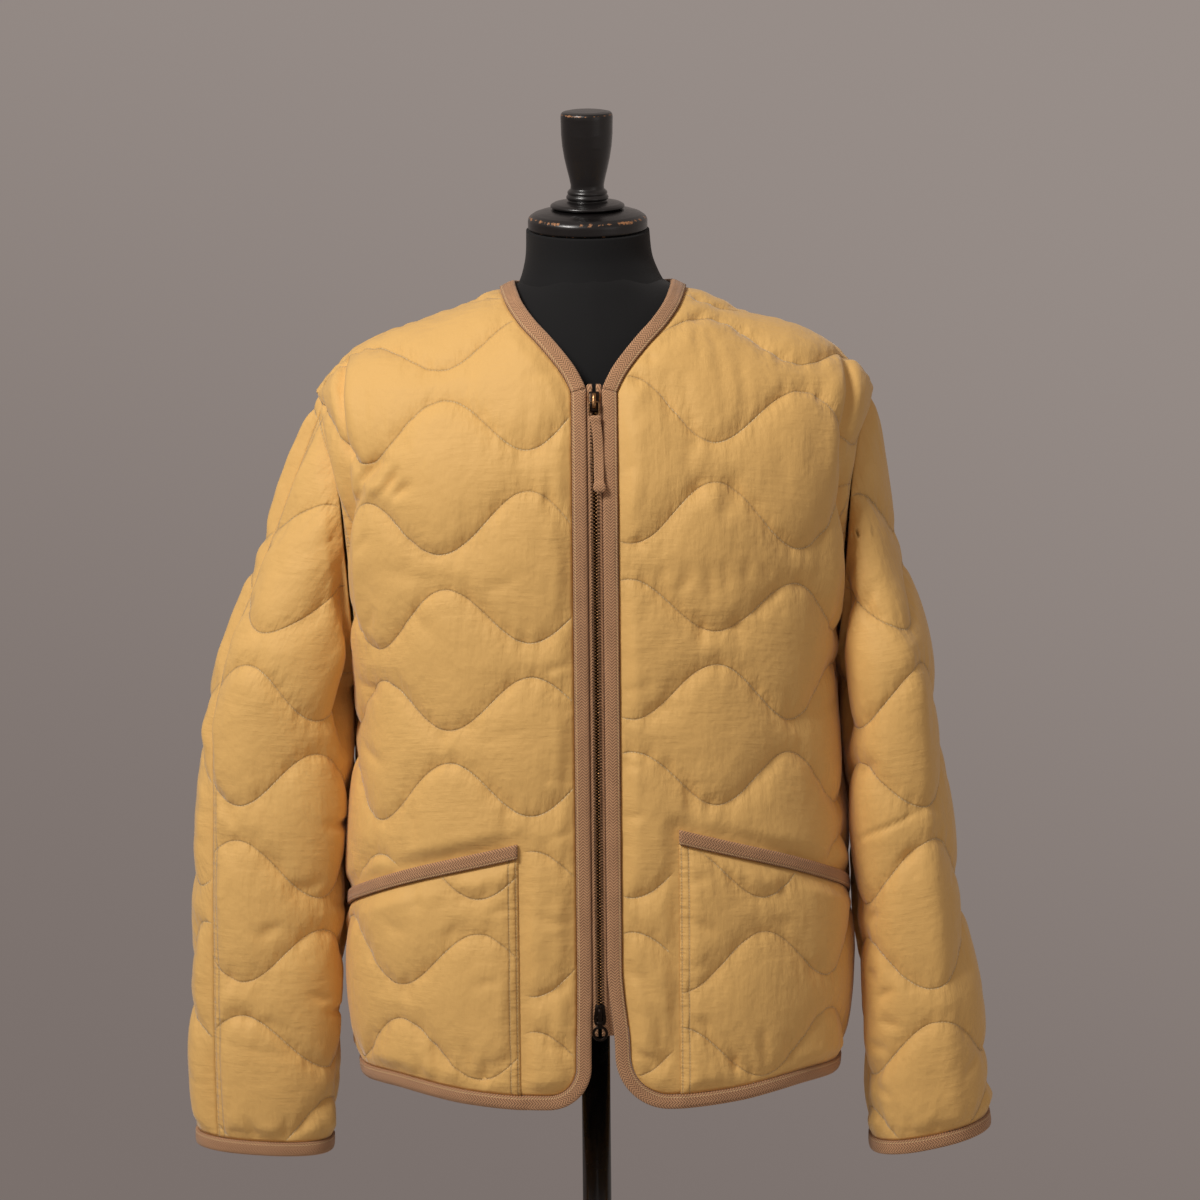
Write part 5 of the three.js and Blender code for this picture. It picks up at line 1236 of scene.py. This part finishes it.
def tape_profile(high, low):
    """Section of folded tape, as shares across and heights: flat faces and a round fold at its edge."""
    half = (high - low) / 2
    radius = half / TAPE_WIDTH
    angle = np.linspace(np.pi / 2, -np.pi / 2, 7)[:, None]
    fold_share = radius - radius * np.cos(angle) + 0 * half
    fold_height = (high + low) / 2 + half * np.sin(angle)
    face = np.linspace(1, 0.3, 5)[:, None]
    ones = np.ones(np.shape(half))
    share = np.vstack([face * ones, fold_share, face[::-1] * ones])
    top = high + 0.25 * np.sin(np.pi * face)
    height = np.vstack([top * ones, fold_height, low * ones + 0 * face])
    return share, height


def tape_rings(place, line, inner, high, low):
    """Rings of points round a tape that runs along a line of folds, and its length run."""
    share, height = tape_profile(high, low)
    s = line[:, 0] + (inner[:, 0] - line[:, 0]) * share
    h = line[:, 1] + (inner[:, 1] - line[:, 1]) * share
    return np.swapaxes(on(place, s, h, height), 0, 1), np.broadcast_to(share, s.shape).T


def make_tape(name, node, rings, shares, material, loop=False):
    """Tape from rings along its run."""
    run = lengths(rings.mean(1))
    uv = np.stack([np.broadcast_to(run[:, None], shares.shape), shares * TAPE_WIDTH], -1).reshape(-1, 2)
    obj = tube_mesh(name, rings, 0.0, uv, loop)
    dressed(obj, material, node)


def make_bindings(tape):
    mirror = np.array([-1, 1])
    neck_rings, hem_rings = [], []
    runs = {name: edge_tapes(half) for name, half in SIDES.items()}

    def wavy(line, seed):
        return 0.35 * ripple(line[:, 0], line[:, 1], seed, 26)

    def neck_run(line, inner):
        low = np.full(len(line), CHAIN_LOW)
        neck_rings.append(tape_rings(body_place, line, inner, TAPE_PROUD + wavy(line, 5), low))

    def hem_run(line, inner, on_front):
        around = np.abs(line[:, 0])
        lift = (SEAM + POCKET_WALL) * smooth(around, POCKET_INNER - 8, POCKET_INNER + 2) * (line[:, 1] < -400)
        high = TAPE_PROUD + (lift if on_front else 0) + wavy(line, 7)
        hem_rings.append(tape_rings(body_place, line, inner, high, np.full(len(line), CHAIN_LOW)))

    line, inner = runs["left"][0]
    neck_run(line[::-1] * mirror, inner[::-1] * mirror)
    line = back_neck()
    inner = moved(line, -TAPE_WIDTH)
    inner[[0, -1], 1] = shoulder_top(inner[[0, -1], 0])
    neck_run(line[1:-1][::-1], inner[1:-1][::-1])
    neck_run(*runs["right"][0])
    line, inner = runs["left"][1]
    hem_run(line * mirror, inner * mirror, True)
    line = back_hem()
    inner = moved(line, TAPE_WIDTH)
    inner[[0, -1], 0] = SIDE, 3 * SIDE
    hem_run(line[1:-1][::-1], inner[1:-1][::-1], False)
    line, inner = runs["right"][1]
    hem_run(line[::-1], inner[::-1], True)
    for name, node, parts in (
        ("neck_tape", "neck_binding", neck_rings),
        ("front_hem_tape", "front_hem_binding", hem_rings),
    ):
        rings = np.concatenate([part[0] for part in parts])
        make_tape(name, node, rings, np.concatenate([part[1] for part in parts]), tape)

    for name, sleeve in SLEEVES.items():
        share = np.linspace(0, 1, 121)[:-1]
        rows = []
        for up in (np.zeros(120), np.full(120, float(TAPE_WIDTH))):
            rows.append(np.stack([-sleeve["side"] * share * sleeve_girth(sleeve, up), up], -1))
        high = TAPE_PROUD + 0.5 * ripple(*rows[0].T, 3, 40)
        rings, shares = tape_rings(sleeve_surface(sleeve), *rows, high, np.full(120, CHAIN_LOW))
        make_tape("cuff_%s_tape" % name, "cuff_binding_" + name, rings, shares, tape, loop=True)

    for name, half in SIDES.items():
        across = np.linspace(SIDE - SEAM / 2, POCKET_INNER, 84)
        low = np.stack([across, pocket_top(name, across) - TAPE_WIDTH + SEAM], -1)
        line = np.stack([across, pocket_top(name, across)], -1)
        mirror = np.array([half["side"], 1])
        high = np.full(len(line), SEAM + TAPE_THICKNESS - 0.6)
        under = np.full(len(line), SEAM + 0.1)
        rings, shares = tape_rings(body_place, line * mirror, low * mirror, high, under)
        make_tape("pocket_%s_tape" % name, "pocket_binding_" + name, rings, shares, tape)


# Zip


def zip_up(level):
    return float(up_at(np.array(0.0), np.array(float(level))))


def make_zip(tape, metal):
    top, bottom = zip_up(ZIP_TOP - 6), ZIP_BOTTOM - SHOULDER_START
    face = CHAIN_LOW - SEAM - 0.15
    for name, half in SIDES.items():
        s = half["side"] * np.array([1.6, 3.4, 5, 5.8, 6.5, 7.3, 10, 15, 20])[None, :]
        h = np.linspace(bottom - 10, top + 2, 180)[:, None]
        s, h = np.broadcast_arrays(s, h)
        uv = np.stack([h, np.abs(s)], -1)
        h = h + 4 * (1 - smooth(np.abs(s), 5.5, 7)) * smooth(h, top - 3, top + 2)
        outer = face + 2.1 * (1 - smooth(np.abs(s), 5.2, 7.2)) + 0.15 * ripple(s, h, 2, 15)
        plain_wear = {"wear": np.zeros(s.shape)}
        obj = sheet_mesh("zip_%s_tape" % name, body_place, s, h, outer, outer - 1, uv, plain_wear)
        dressed(obj, tape, "zip_tape_" + name)

    # One tooth: sections from its tip to its root, each an oval in height and thickness
    tip_to_root = np.array(
        [(0.1, 0.3, 0.5), (0.5, 0.75, 1.2), (1.3, 0.62, 1.3), (2.7, 0.6, 1.45), (3.6, 0.5, 1.1)]
    )
    angle = np.linspace(0, 2 * np.pi, 7)[:-1]
    across, half_height, half_depth = (tip_to_root[:, k, None] for k in range(3))
    depth = CHAIN_LOW + CHAIN_THICKNESS / 2 + half_depth * np.cos(angle)
    tooth = np.stack([np.broadcast_to(across, (5, 6)), half_height * np.sin(angle), depth], -1)
    tooth = tooth.reshape(-1, 3)
    # Wear is highest on the outward faces near the tips: rubbed metal there, and painted glints in zip_metal.
    wear = np.broadcast_to(np.clip(np.cos(angle), 0, 1), (5, 6)).ravel() * np.repeat([1, 1, 0.8, 0.6, 0.5], 6)
    ends = [list(range(6))[::-1], list(range(24, 30))]
    faces = np.array(grid_faces(5, 6, wrap=True))
    start, end = bottom + SLIDER_LENGTH, top - SLIDER_LENGTH
    rows = np.arange(start, end, TOOTH_PITCH)
    objects = []
    for side in (-1, 1):
        up = rows + (side > 0) * TOOTH_PITCH / 2
        count = len(up)
        s = np.broadcast_to(side * tooth[:, 0], (count, 30))
        points = on(body_place, s, up[:, None] + tooth[:, 1], np.broadcast_to(tooth[:, 2], (count, 30)))
        shifts = 30 * np.arange(count)
        all_faces = (faces[None] + shifts[:, None, None]).reshape(-1, 4).tolist()
        all_faces += [[i + shift for i in cap] for shift in shifts for cap in ends]
        if signed_volume(points.reshape(-1, 3), all_faces) < 0:
            all_faces = [f[::-1] for f in all_faces]
        worn = {"wear": np.tile(wear, count)}
        objects.append(add_mesh("teeth", points.reshape(-1, 3), all_faces, None, worn))
    dressed(joined("zip_teeth", objects), metal, "zip_chain")


def frame_on_zip(up, lift):
    """Place and axes of a frame on the zip: across, out of the cloth, and up the zip."""
    middle, up = np.array(0.0), np.array(float(up))
    normal = outward(body_place, middle, up)
    across = np.array([1.0, 0, 0])
    return body_place(middle, up) + normal * lift, across, normal, np.cross(across, -normal)


def set_in(axes, points):
    """Points given across, out and up in a frame, as places."""
    place, across, out, up = axes
    return place + points[..., :1] * across + points[..., 1:2] * out + points[..., 2:] * up


def loft(rows, fullness=4, around=28):
    """Rings of full ovals: rows give up, half width, low and high."""
    table = np.array(rows, float)
    angle = np.linspace(0, 2 * np.pi, around + 1)[:-1]
    up, half, low, high = (table[:, k, None] for k in range(4))
    sine, cosine = np.sin(angle), np.cos(angle)
    r = (np.abs(sine) ** fullness + np.abs(cosine) ** fullness) ** (-1 / fullness)
    x = half * r * sine
    y = (high + low) / 2 + (high - low) / 2 * r * cosine
    return np.stack([x, y, np.broadcast_to(up, x.shape)], -1)


def swept(path, out, width, thick, around=10):
    """An oval section carried round a closed flat path, given across and up, at a distance out."""
    before, after = np.roll(path, 1, 0), np.roll(path, -1, 0)
    along = (after - before) / np.linalg.norm(after - before, axis=1)[:, None]
    side = np.stack([along[:, 1], -along[:, 0]], -1)
    angle = np.linspace(0, 2 * np.pi, around + 1)[:-1]
    flat_part = path[:, None] + side[:, None] * (width / 2 * np.cos(angle))[None, :, None]
    height = np.broadcast_to(out + thick / 2 * np.sin(angle), flat_part.shape[:2])
    return np.stack([flat_part[..., 0], height, flat_part[..., 1]], -1)


def rounded_path(corners, radius, steps=6):
    """Closed path through corners, each cut by a quadratic curve that starts a radius before it."""
    corners = np.array(corners, float)
    found = []
    for i, corner in enumerate(corners):
        before, after = corners[i - 1] - corner, corners[(i + 1) % len(corners)] - corner
        a = corner + before / np.linalg.norm(before) * radius
        b = corner + after / np.linalg.norm(after) * radius
        t = np.linspace(0, 1, steps)[:, None]
        found.append((1 - t) ** 2 * a + 2 * t * (1 - t) * corner + t**2 * b)
    return evenly(np.vstack([*found, found[0][:1]]), 0.6)[:-1]


# Sliders: up, half width, low and high
SLIDER_ROWS = [
    (-8.5, 3.2, 0.6, 4.6), (-7.6, 3.9, 0.1, 5.2), (-2, 4.5, 0, 5.4),
    (3, 5.2, 0, 5.4), (6.5, 4.9, 0, 5.3), (8.3, 4.2, 0.3, 4.8),
]


def make_sliders(metal, dark, tape):
    top = zip_up(ZIP_TOP - 6) - SLIDER_LENGTH / 2
    bottom = ZIP_BOTTOM - SHOULDER_START + SLIDER_LENGTH / 2
    for name, up, flip, finish in (("top", top, 1, metal), ("bottom", bottom, -1, dark)):
        axes = frame_on_zip(up, CHAIN_LOW)
        rings = loft([(flip * row[0], *row[1:]) for row in SLIDER_ROWS])
        # Wear rises towards the slider's two sides: rubbed metal, and painted glints in zip_metal.
        side = np.abs(rings[..., 0]).ravel()
        body = tube_mesh("body", set_in(axes, rings), (side / side.max()) ** 3)
        t = np.linspace(-1, 1, 25)
        rise = 3.9 * np.sqrt(np.clip(1 - t**4, 0, 1))
        spine = np.stack([6.2 * t, SLIDER_HEIGHT - 0.6 + rise], -1)
        angle = np.linspace(0, 2 * np.pi, 11)[:-1]
        along = np.gradient(spine, axis=0)
        along /= np.linalg.norm(along, axis=1)[:, None]
        side = np.stack([-along[:, 1], along[:, 0]], -1)
        ring_points = spine[:, None] + side[:, None] * (0.65 * np.cos(angle))[None, :, None]
        across = np.broadcast_to(1.6 * np.sin(angle), ring_points.shape[:2])
        bridge_rings = np.stack([across, ring_points[..., 1], ring_points[..., 0]], -1)
        bridge = tube_mesh("bridge", set_in(axes, bridge_rings), 0.7)
        obj = joined("slider_" + name, [body, bridge])
        dressed(obj, finish, "zip_slider_" + name)

    for joint in frame["joints"]:
        make_pull(joint, metal, dark, tape)


def pull_axes(pivot, reach, lift):
    """Frame of a hanging pull: across, out, and up from its foot on the cloth to its pin."""
    foot, across, _, _ = frame_on_zip(pivot[2] - NECK_HEIGHT - SHOULDER_START - reach, lift)
    upward = (pivot - foot) / np.linalg.norm(pivot - foot)
    return pivot, across, np.cross(across, upward), upward


def make_pull(joint, metal, dark, tape):
    pivot = np.array(joint["pos_m"]) / MM
    if joint["child"] == "pull_top":
        axes = pull_axes(pivot, 82, 5)
        path = rounded_path([(-4, 0.3), (4, 0.3), (4, -11.2), (-4, -11.2)], 2)
        obj = tube_mesh("pull_stirrup", set_in(axes, swept(path, 0, 1.4, 1.6)), 0.6, loop=True)
        dressed(obj, metal, "zip_pull_top", "pull_top")
        make_pull_tape(axes, tape)
    else:
        axes = pull_axes(pivot, 24, 4.4)
        t = np.linspace(0, 2 * np.pi, 73)[:-1]
        ring = np.stack([RING_RADIUS * np.sin(t), -13 + RING_RADIUS * np.cos(t)], -1)
        outer = tube_mesh("ring", set_in(axes, swept(ring, 0, 2.4, 1.7, 12)), 0.3, loop=True)
        neck_rows = [
            (-8.4, 3.2, -0.75, 0.75), (-6.8, 2.1, -0.8, 0.8), (-5.2, 2.2, -0.8, 0.8), (-3.4, 3.2, -0.8, 0.8),
        ]
        neck = tube_mesh("neck", set_in(axes, loft(neck_rows)), 0.3)
        path = rounded_path([(-2.9, 0.5), (2.9, 0.5), (2.9, -3.6), (-2.9, -3.6)], 1.5)
        eye = tube_mesh("eye", set_in(axes, swept(path, 0, 1.3, 1.5)), 0.3, loop=True)
        dressed(joined("pull_ring", [outer, neck, eye]), dark, "zip_pull_bottom", "pull_bottom")


def make_pull_tape(axes, tape):
    """Strip folded over the stirrup: a loop at the top, a slanting run, and a knot folded at its end."""
    t = np.linspace(0, 1, 90)
    up = -10.6 - 63 * t
    slant = 0.6 + 4.2 * t + 0.8 * np.sin(5 * t)
    half = 5.2 - 1.2 * smooth(t, 0.0, 0.1) + 1.1 * smooth(t, 0.86, 0.93)
    front = 0.9 + 1.9 * (1 - smooth(t, 0.02, 0.14)) + 1.6 * smooth(t, 0.84, 0.9)
    back = -0.9 - 1.9 * (1 - smooth(t, 0.02, 0.14))
    closing = np.sqrt(np.clip(1 - ((t - 0.5) * 2) ** 24, 0, 1))
    rows = np.stack([up, half * (0.3 + 0.7 * closing), back * closing, front * closing], -1)
    rings = loft(rows, 5, 32)
    rings[..., 0] += slant[:, None]
    rings[..., 1] += (0.7 * np.sin(9 * t))[:, None]
    run = np.broadcast_to(up[:, None], rings.shape[:2])
    uv = np.stack([run, rings[..., 0] + 7.5], -1).reshape(-1, 2)
    obj = tube_mesh("pull_strip", set_in(axes, rings), 0.0, uv)
    dressed(obj, tape, "zip_pull_tape", "pull_top")


# Dress form


def lathe(line, wear, segments):
    """Rings of a line of radius and height spun round the upright axis, and the wear of their points."""
    angle = np.linspace(0, 2 * np.pi, segments + 1)[:-1]
    radius = np.maximum(line[:, 0, None], 0.02)
    height = np.broadcast_to(line[:, 1, None], (len(line), segments))
    rings = np.stack([radius * np.cos(angle), radius * np.sin(angle), height], -1)
    return rings, np.repeat(wear, segments)


def head_place(points, lift):
    """Points of the head group: turned by the neck's lean about the sideways axis and moved up."""
    lean = math.radians(NECK_LEAN)
    x, y, z = points[..., 0], points[..., 1], points[..., 2] + lift
    forward = y * math.cos(lean) - z * math.sin(lean)
    turned = np.stack([x, forward, y * math.sin(lean) + z * math.cos(lean)], -1)
    return turned + [STAND_SHIFT, 0, NECK_HEIGHT + NECK_TOP + SEAM]


CAP_THICKNESS = 18
# Profiles: radius, height, wear
CAP_PROFILE = [
    (0, 0, 0), (48.2, 0, 0), (49.8, 0.6, 0.8), (50.5, 2, 0.5), (50.5, 7.6, 0.15), (50.1, 9.4, 0.75),
    (48.8, 11.2, 0.9), (45.6, 13.4, 0.25), (40, 15.2, 0.05), (33, 16.8, 0.1), (27, 17.7, 0.1),
    (20, CAP_THICKNESS, 0), (0, CAP_THICKNESS, 0),
]
FINIAL_PROFILE = [
    (0, 0, 0), (30.2, 0, 0.1), (31.4, 0.9, 0.6), (31.2, 2.4, 0.5), (28.4, 4, 0.1), (22, 5.2, 0),
    (16.6, 5.8, 0), (16.2, 6.6, 0), (17.6, 7.6, 0.3), (18, 9, 0.5), (17.2, 10.6, 0.2), (16.2, 11.2, 0),
    (16.9, 12.2, 0.3), (16.8, 13.6, 0.4), (15.4, 15, 0), (14.2, 16, 0.1), (14, 19, 0.1), (15.2, 25, 0),
    (17.2, 33, 0), (19.2, 42, 0), (20.8, 52, 0), (21.6, 62, 0), (21.8, 72, 0.1), (21.9, 76, 0.4),
    (21.6, 78.4, 0.9), (20.4, 80, 0.5), (16, 80.9, 0.1), (0, 81, 0),
]


def make_head(wood):
    for name, profile, lift in (
        ("neck_cap", CAP_PROFILE, 0.0),
        ("finial", FINIAL_PROFILE, CAP_THICKNESS + SEAM),
    ):
        table = np.array(profile, float)
        line, run = evenly(table[:, :2], 0.8), lengths(table[:, :2])
        wear = np.interp(lengths(line) / lengths(line)[-1], run / run[-1], table[:, 2])
        rings, wear = lathe(line, wear, 72)
        obj = tube_mesh(name + "_turned", head_place(rings, lift), wear)
        dressed(obj, wood, name)


def make_torso(jersey):
    angle = np.linspace(0, 2 * np.pi, 121)[:-1][None, :]
    part = np.linspace(0, 1, 90)[:, None]
    depth_top = column(FORM_ROWS, 0.0, 2)
    widest = oval_radius(angle, FORM_WIDTH, depth_top, FORM_FULLNESS)
    out = np.abs(widest * np.sin(angle))
    rest = (CLOTH + SHOULDER_REST) / math.cos(math.radians(20))
    ridge = column(SHOULDER_ROWS, out) - rest - 34 * smooth(out, 150, FORM_WIDTH) ** 2
    bend = np.clip((part - 0.55) / 0.45, 0, 1)
    lean = bend * np.pi / 2
    low = FORM_BOTTOM + (SHOULDER_START - FORM_BOTTOM) * np.minimum(part / 0.55, 1)
    level = np.where(bend > 0, SHOULDER_START + (ridge - SHOULDER_START) * np.sin(lean), low)
    r = oval_radius(angle, column(FORM_ROWS, level), column(FORM_ROWS, level, 2), FORM_FULLNESS)
    x = (r + (widest - r) * bend) * np.sin(angle)
    y = -r * np.cos(angle) * np.cos(lean)
    # Below the front of the neck the torso rises to meet it
    apart = np.clip((np.hypot(x / 66, y / 60) - 1) * 60, 0, 24)
    level = level + (24 - apart) ** 2 / 72 * (1 - smooth(np.abs(x), 20, 50)) * (y < 0) * (bend > 0)
    torso = tube_mesh("torso", np.stack([x, y, NECK_HEIGHT + level], -1))

    neck_rows = [
        (-70, 84, 76, 0, 0), (-40, 78, 74.5, 0, 0), (-22, 71, 66.5, 0, 0), (-8, 66, 60.5, 0, 0),
        (0, 62, 58, 1, 0.25), (10, 57.5, 55, 3, 0.5), (24, 53.5, 52.3, 6, 0.8),
        (NECK_TOP, 52, 52, NECK_LEAN, 1),
    ]
    level = np.linspace(-70, NECK_TOP, 80)[:, None]
    half_width, half_depth, lean, shift = (column(neck_rows, level, k) for k in (1, 2, 3, 4))
    y = half_depth * np.sin(angle)
    z = NECK_HEIGHT + level + y * np.tan(np.radians(lean))
    x = STAND_SHIFT * shift + half_width * np.cos(angle)
    neck = tube_mesh("neck", np.stack([x, y, z], -1))
    dressed(joined("torso_cover", [torso, neck]), jersey, "form_torso")


def make_stand(enamel):
    floor = NECK_HEIGHT + FORM_BOTTOM
    collar = [
        (POLE_RADIUS + SEAM, 0, 0), (19.4, 0, 0.2), (20, 0.8, 0.4), (22, 3, 0), (22, 18, 0), (37, 20.6, 0.2),
        (38, 22, 0.4), (38, 25.4, 0.3), (37.4, COLLAR_HEIGHT, 0), (POLE_RADIUS + SEAM, COLLAR_HEIGHT, 0),
    ]
    pole_top = floor - FOOT_HUB - 2 * SEAM
    pole = [
        (0, 0, 0), (POLE_RADIUS - 0.4, 0, 0), (POLE_RADIUS, 0.4, 0), (POLE_RADIUS, pole_top, 0),
        (0, pole_top, 0),
    ]
    base = [
        (0, 0, 0), (182.6, 0, 0), (184.4, 0.7, 0), (185, 2.4, 0.2), (185, 7.6, 0.2), (184, 10.4, 0.3),
        (181, 12, 0.2), (120, 14.2, 0), (60, 16.4, 0), (34, 19, 0), (25, 22.6, 0), (21, 28, 0),
        (20, 33, 0), (20, 43.4, 0.2), (19.4, 45.3, 0.4), (17.6, FOOT_HUB, 0.1), (0, FOOT_HUB, 0),
    ]
    for name, profile, lift in (
        ("pole_collar", collar, floor - COLLAR_HEIGHT - SEAM),
        ("pole", pole, FOOT_HUB + SEAM),
        ("base", base, 0.0),
    ):
        table = np.array(profile, float)
        rings, wear = lathe(table, table[:, 2], 96)
        rings = rings + [STAND_SHIFT, 0, lift]
        obj = tube_mesh(name + "_turned", rings, wear, loop=name == "pole_collar")
        dressed(obj, enamel, name)


# Operators


class JACKET_OT_cloth(bpy.types.Operator):
    """Make the fronts, back, sleeves and pockets"""

    bl_idname = "jacket.cloth"
    bl_label = "Quilted Cloth"

    def execute(self, context):
        settings = context.scene.jacket
        cloth = quilted_cloth(settings.cloth, settings.thread)
        rise = settings.rise / MM
        make_fronts(cloth, rise)
        make_pockets(cloth, rise * 0.9)
        make_back(cloth, rise)
        make_sleeves(cloth, rise)
        return {"FINISHED"}


class JACKET_OT_bindings(bpy.types.Operator):
    """Make the edge tapes"""

    bl_idname = "jacket.bindings"
    bl_label = "Edge Tapes"

    def execute(self, context):
        settings = context.scene.jacket
        make_bindings(herringbone_tape("edge_tape", settings.tape, settings.thread, (TAPE_WIDTH - 1.6) * MM))
        return {"FINISHED"}


class JACKET_OT_zip(bpy.types.Operator):
    """Make the zip, its sliders and pulls"""

    bl_idname = "jacket.zip"
    bl_label = "Zip"

    def execute(self, context):
        settings = context.scene.jacket
        metal = zip_metal("antique_brass", settings.metal, settings.bright, 0.6)
        dark = zip_metal("black_metal", [c * 0.4 for c in settings.metal], settings.metal, 0.4)
        tape = herringbone_tape("zip_tape", settings.tape, settings.thread)
        make_zip(tape, metal)
        make_sliders(metal, dark, tape)
        return {"FINISHED"}


class JACKET_OT_form(bpy.types.Operator):
    """Make the torso, cap, finial, pole and foot"""

    bl_idname = "jacket.form"
    bl_label = "Dress Form"

    def execute(self, context):
        settings = context.scene.jacket_stand
        make_torso(form_cloth(settings.jersey))
        make_head(painted_wood(settings.wood, settings.bare))
        make_stand(black_enamel(settings.enamel, settings.reflection_brown))
        return {"FINISHED"}


class JACKET_OT_stage(bpy.types.Operator):
    """Make the floor, backdrop, lights and camera"""

    bl_idname = "jacket.stage"
    bl_label = "Stage"

    def execute(self, context):
        make_stage(context.scene.jacket_stage)
        return {"FINISHED"}


def make_stage(settings):
    """Pale round floor, a grey dome round it, two soft lights and the camera at the photograph's angle."""
    angle = np.linspace(0, 2 * np.pi, 65)[:-1]
    down = np.linspace(0.01, 3.13, 33)
    dome = grey_dome(settings.low, settings.high)
    for name, radius, height, material in (
        ("floor", np.linspace(1, FLOOR_RADIUS, 9), np.full(9, -1.0), pale_floor(settings.floor)),
        ("dome", DOME_RADIUS * np.sin(down), DOME_RADIUS * np.cos(down), dome),
    ):
        x, y = radius[:, None] * np.cos(angle), radius[:, None] * np.sin(angle)
        points = np.stack([x, y, np.broadcast_to(height[:, None], x.shape)], -1).reshape(-1, 3)
        obj = add_mesh(name, points, grid_faces(len(radius), 64, turned=name == "floor", wrap=True))
        obj.data.materials.append(material)

    target = Vector((0, 0, TARGET_HEIGHT))
    for name, place, size, power, colour in (
        ("key", (-1.6, -1.8, 3.3), 0.9, settings.key, (1, 0.97, 0.93)),
        ("fill", (2.3, -2.4, 1.5), 1.6, settings.fill, (1, 0.98, 0.96)),
    ):
        lamp = bpy.data.lights.new(name, "AREA")
        lamp.energy, lamp.size, lamp.color = power, size, colour
        obj = bpy.data.objects.new(name, lamp)
        obj.location = place
        obj.rotation_euler = (target - Vector(place)).to_track_quat("-Z", "Y").to_euler()
        bpy.context.scene.collection.objects.link(obj)

    scene = bpy.context.scene
    scene.view_settings.view_transform = "Standard"

    tilt = math.radians(CAMERA_TILT)
    lens = bpy.data.cameras.new("camera")
    lens.sensor_width, lens.lens = SENSOR_WIDTH, SENSOR_WIDTH * FOCAL_PIXELS / PICTURE_WIDTH
    lens.shift_x = SHIFT_PIXELS / PICTURE_WIDTH
    camera = bpy.data.objects.new("camera", lens)
    place = target + settings.distance * Vector((0, -math.cos(tilt), math.sin(tilt)))
    roll = Matrix.Rotation(math.radians(CAMERA_ROLL), 4, "Z")
    aim = (target - place).to_track_quat("-Z", "Y").to_matrix().to_4x4()
    camera.matrix_world = Matrix.Translation(place) @ aim @ roll
    scene.collection.objects.link(camera)
    scene.camera = camera


class JACKET_PT_panel(bpy.types.Panel):
    """Jacket tools in the 3D view's sidebar"""

    bl_idname = "JACKET_PT_panel"
    bl_label = "Quilted Jacket"
    bl_space_type = "VIEW_3D"
    bl_region_type = "UI"
    bl_category = "Jacket"

    def draw(self, context):
        scene = context.scene
        for settings in (scene.jacket, scene.jacket_stand, scene.jacket_stage):
            for key in type(settings).__annotations__:
                self.layout.prop(settings, key)
        for operator in OPERATORS:
            self.layout.operator(operator.bl_idname)


OPERATORS = (JACKET_OT_cloth, JACKET_OT_bindings, JACKET_OT_zip, JACKET_OT_form, JACKET_OT_stage)
CLASSES = (JacketSettings, StandSettings, StageSettings, *OPERATORS, JACKET_PT_panel)


def register():
    for cls in CLASSES:
        bpy.utils.register_class(cls)
    bpy.types.Scene.jacket = bpy.props.PointerProperty(type=JacketSettings)
    bpy.types.Scene.jacket_stand = bpy.props.PointerProperty(type=StandSettings)
    bpy.types.Scene.jacket_stage = bpy.props.PointerProperty(type=StageSettings)


def unregister():
    del bpy.types.Scene.jacket_stage, bpy.types.Scene.jacket_stand, bpy.types.Scene.jacket
    for cls in reversed(CLASSES):
        bpy.utils.unregister_class(cls)


def main():
    register()
    for operator in OPERATORS:
        group, name = operator.bl_idname.split(".")
        getattr(getattr(bpy.ops, group), name)()


if __name__ == "__main__":
    main()
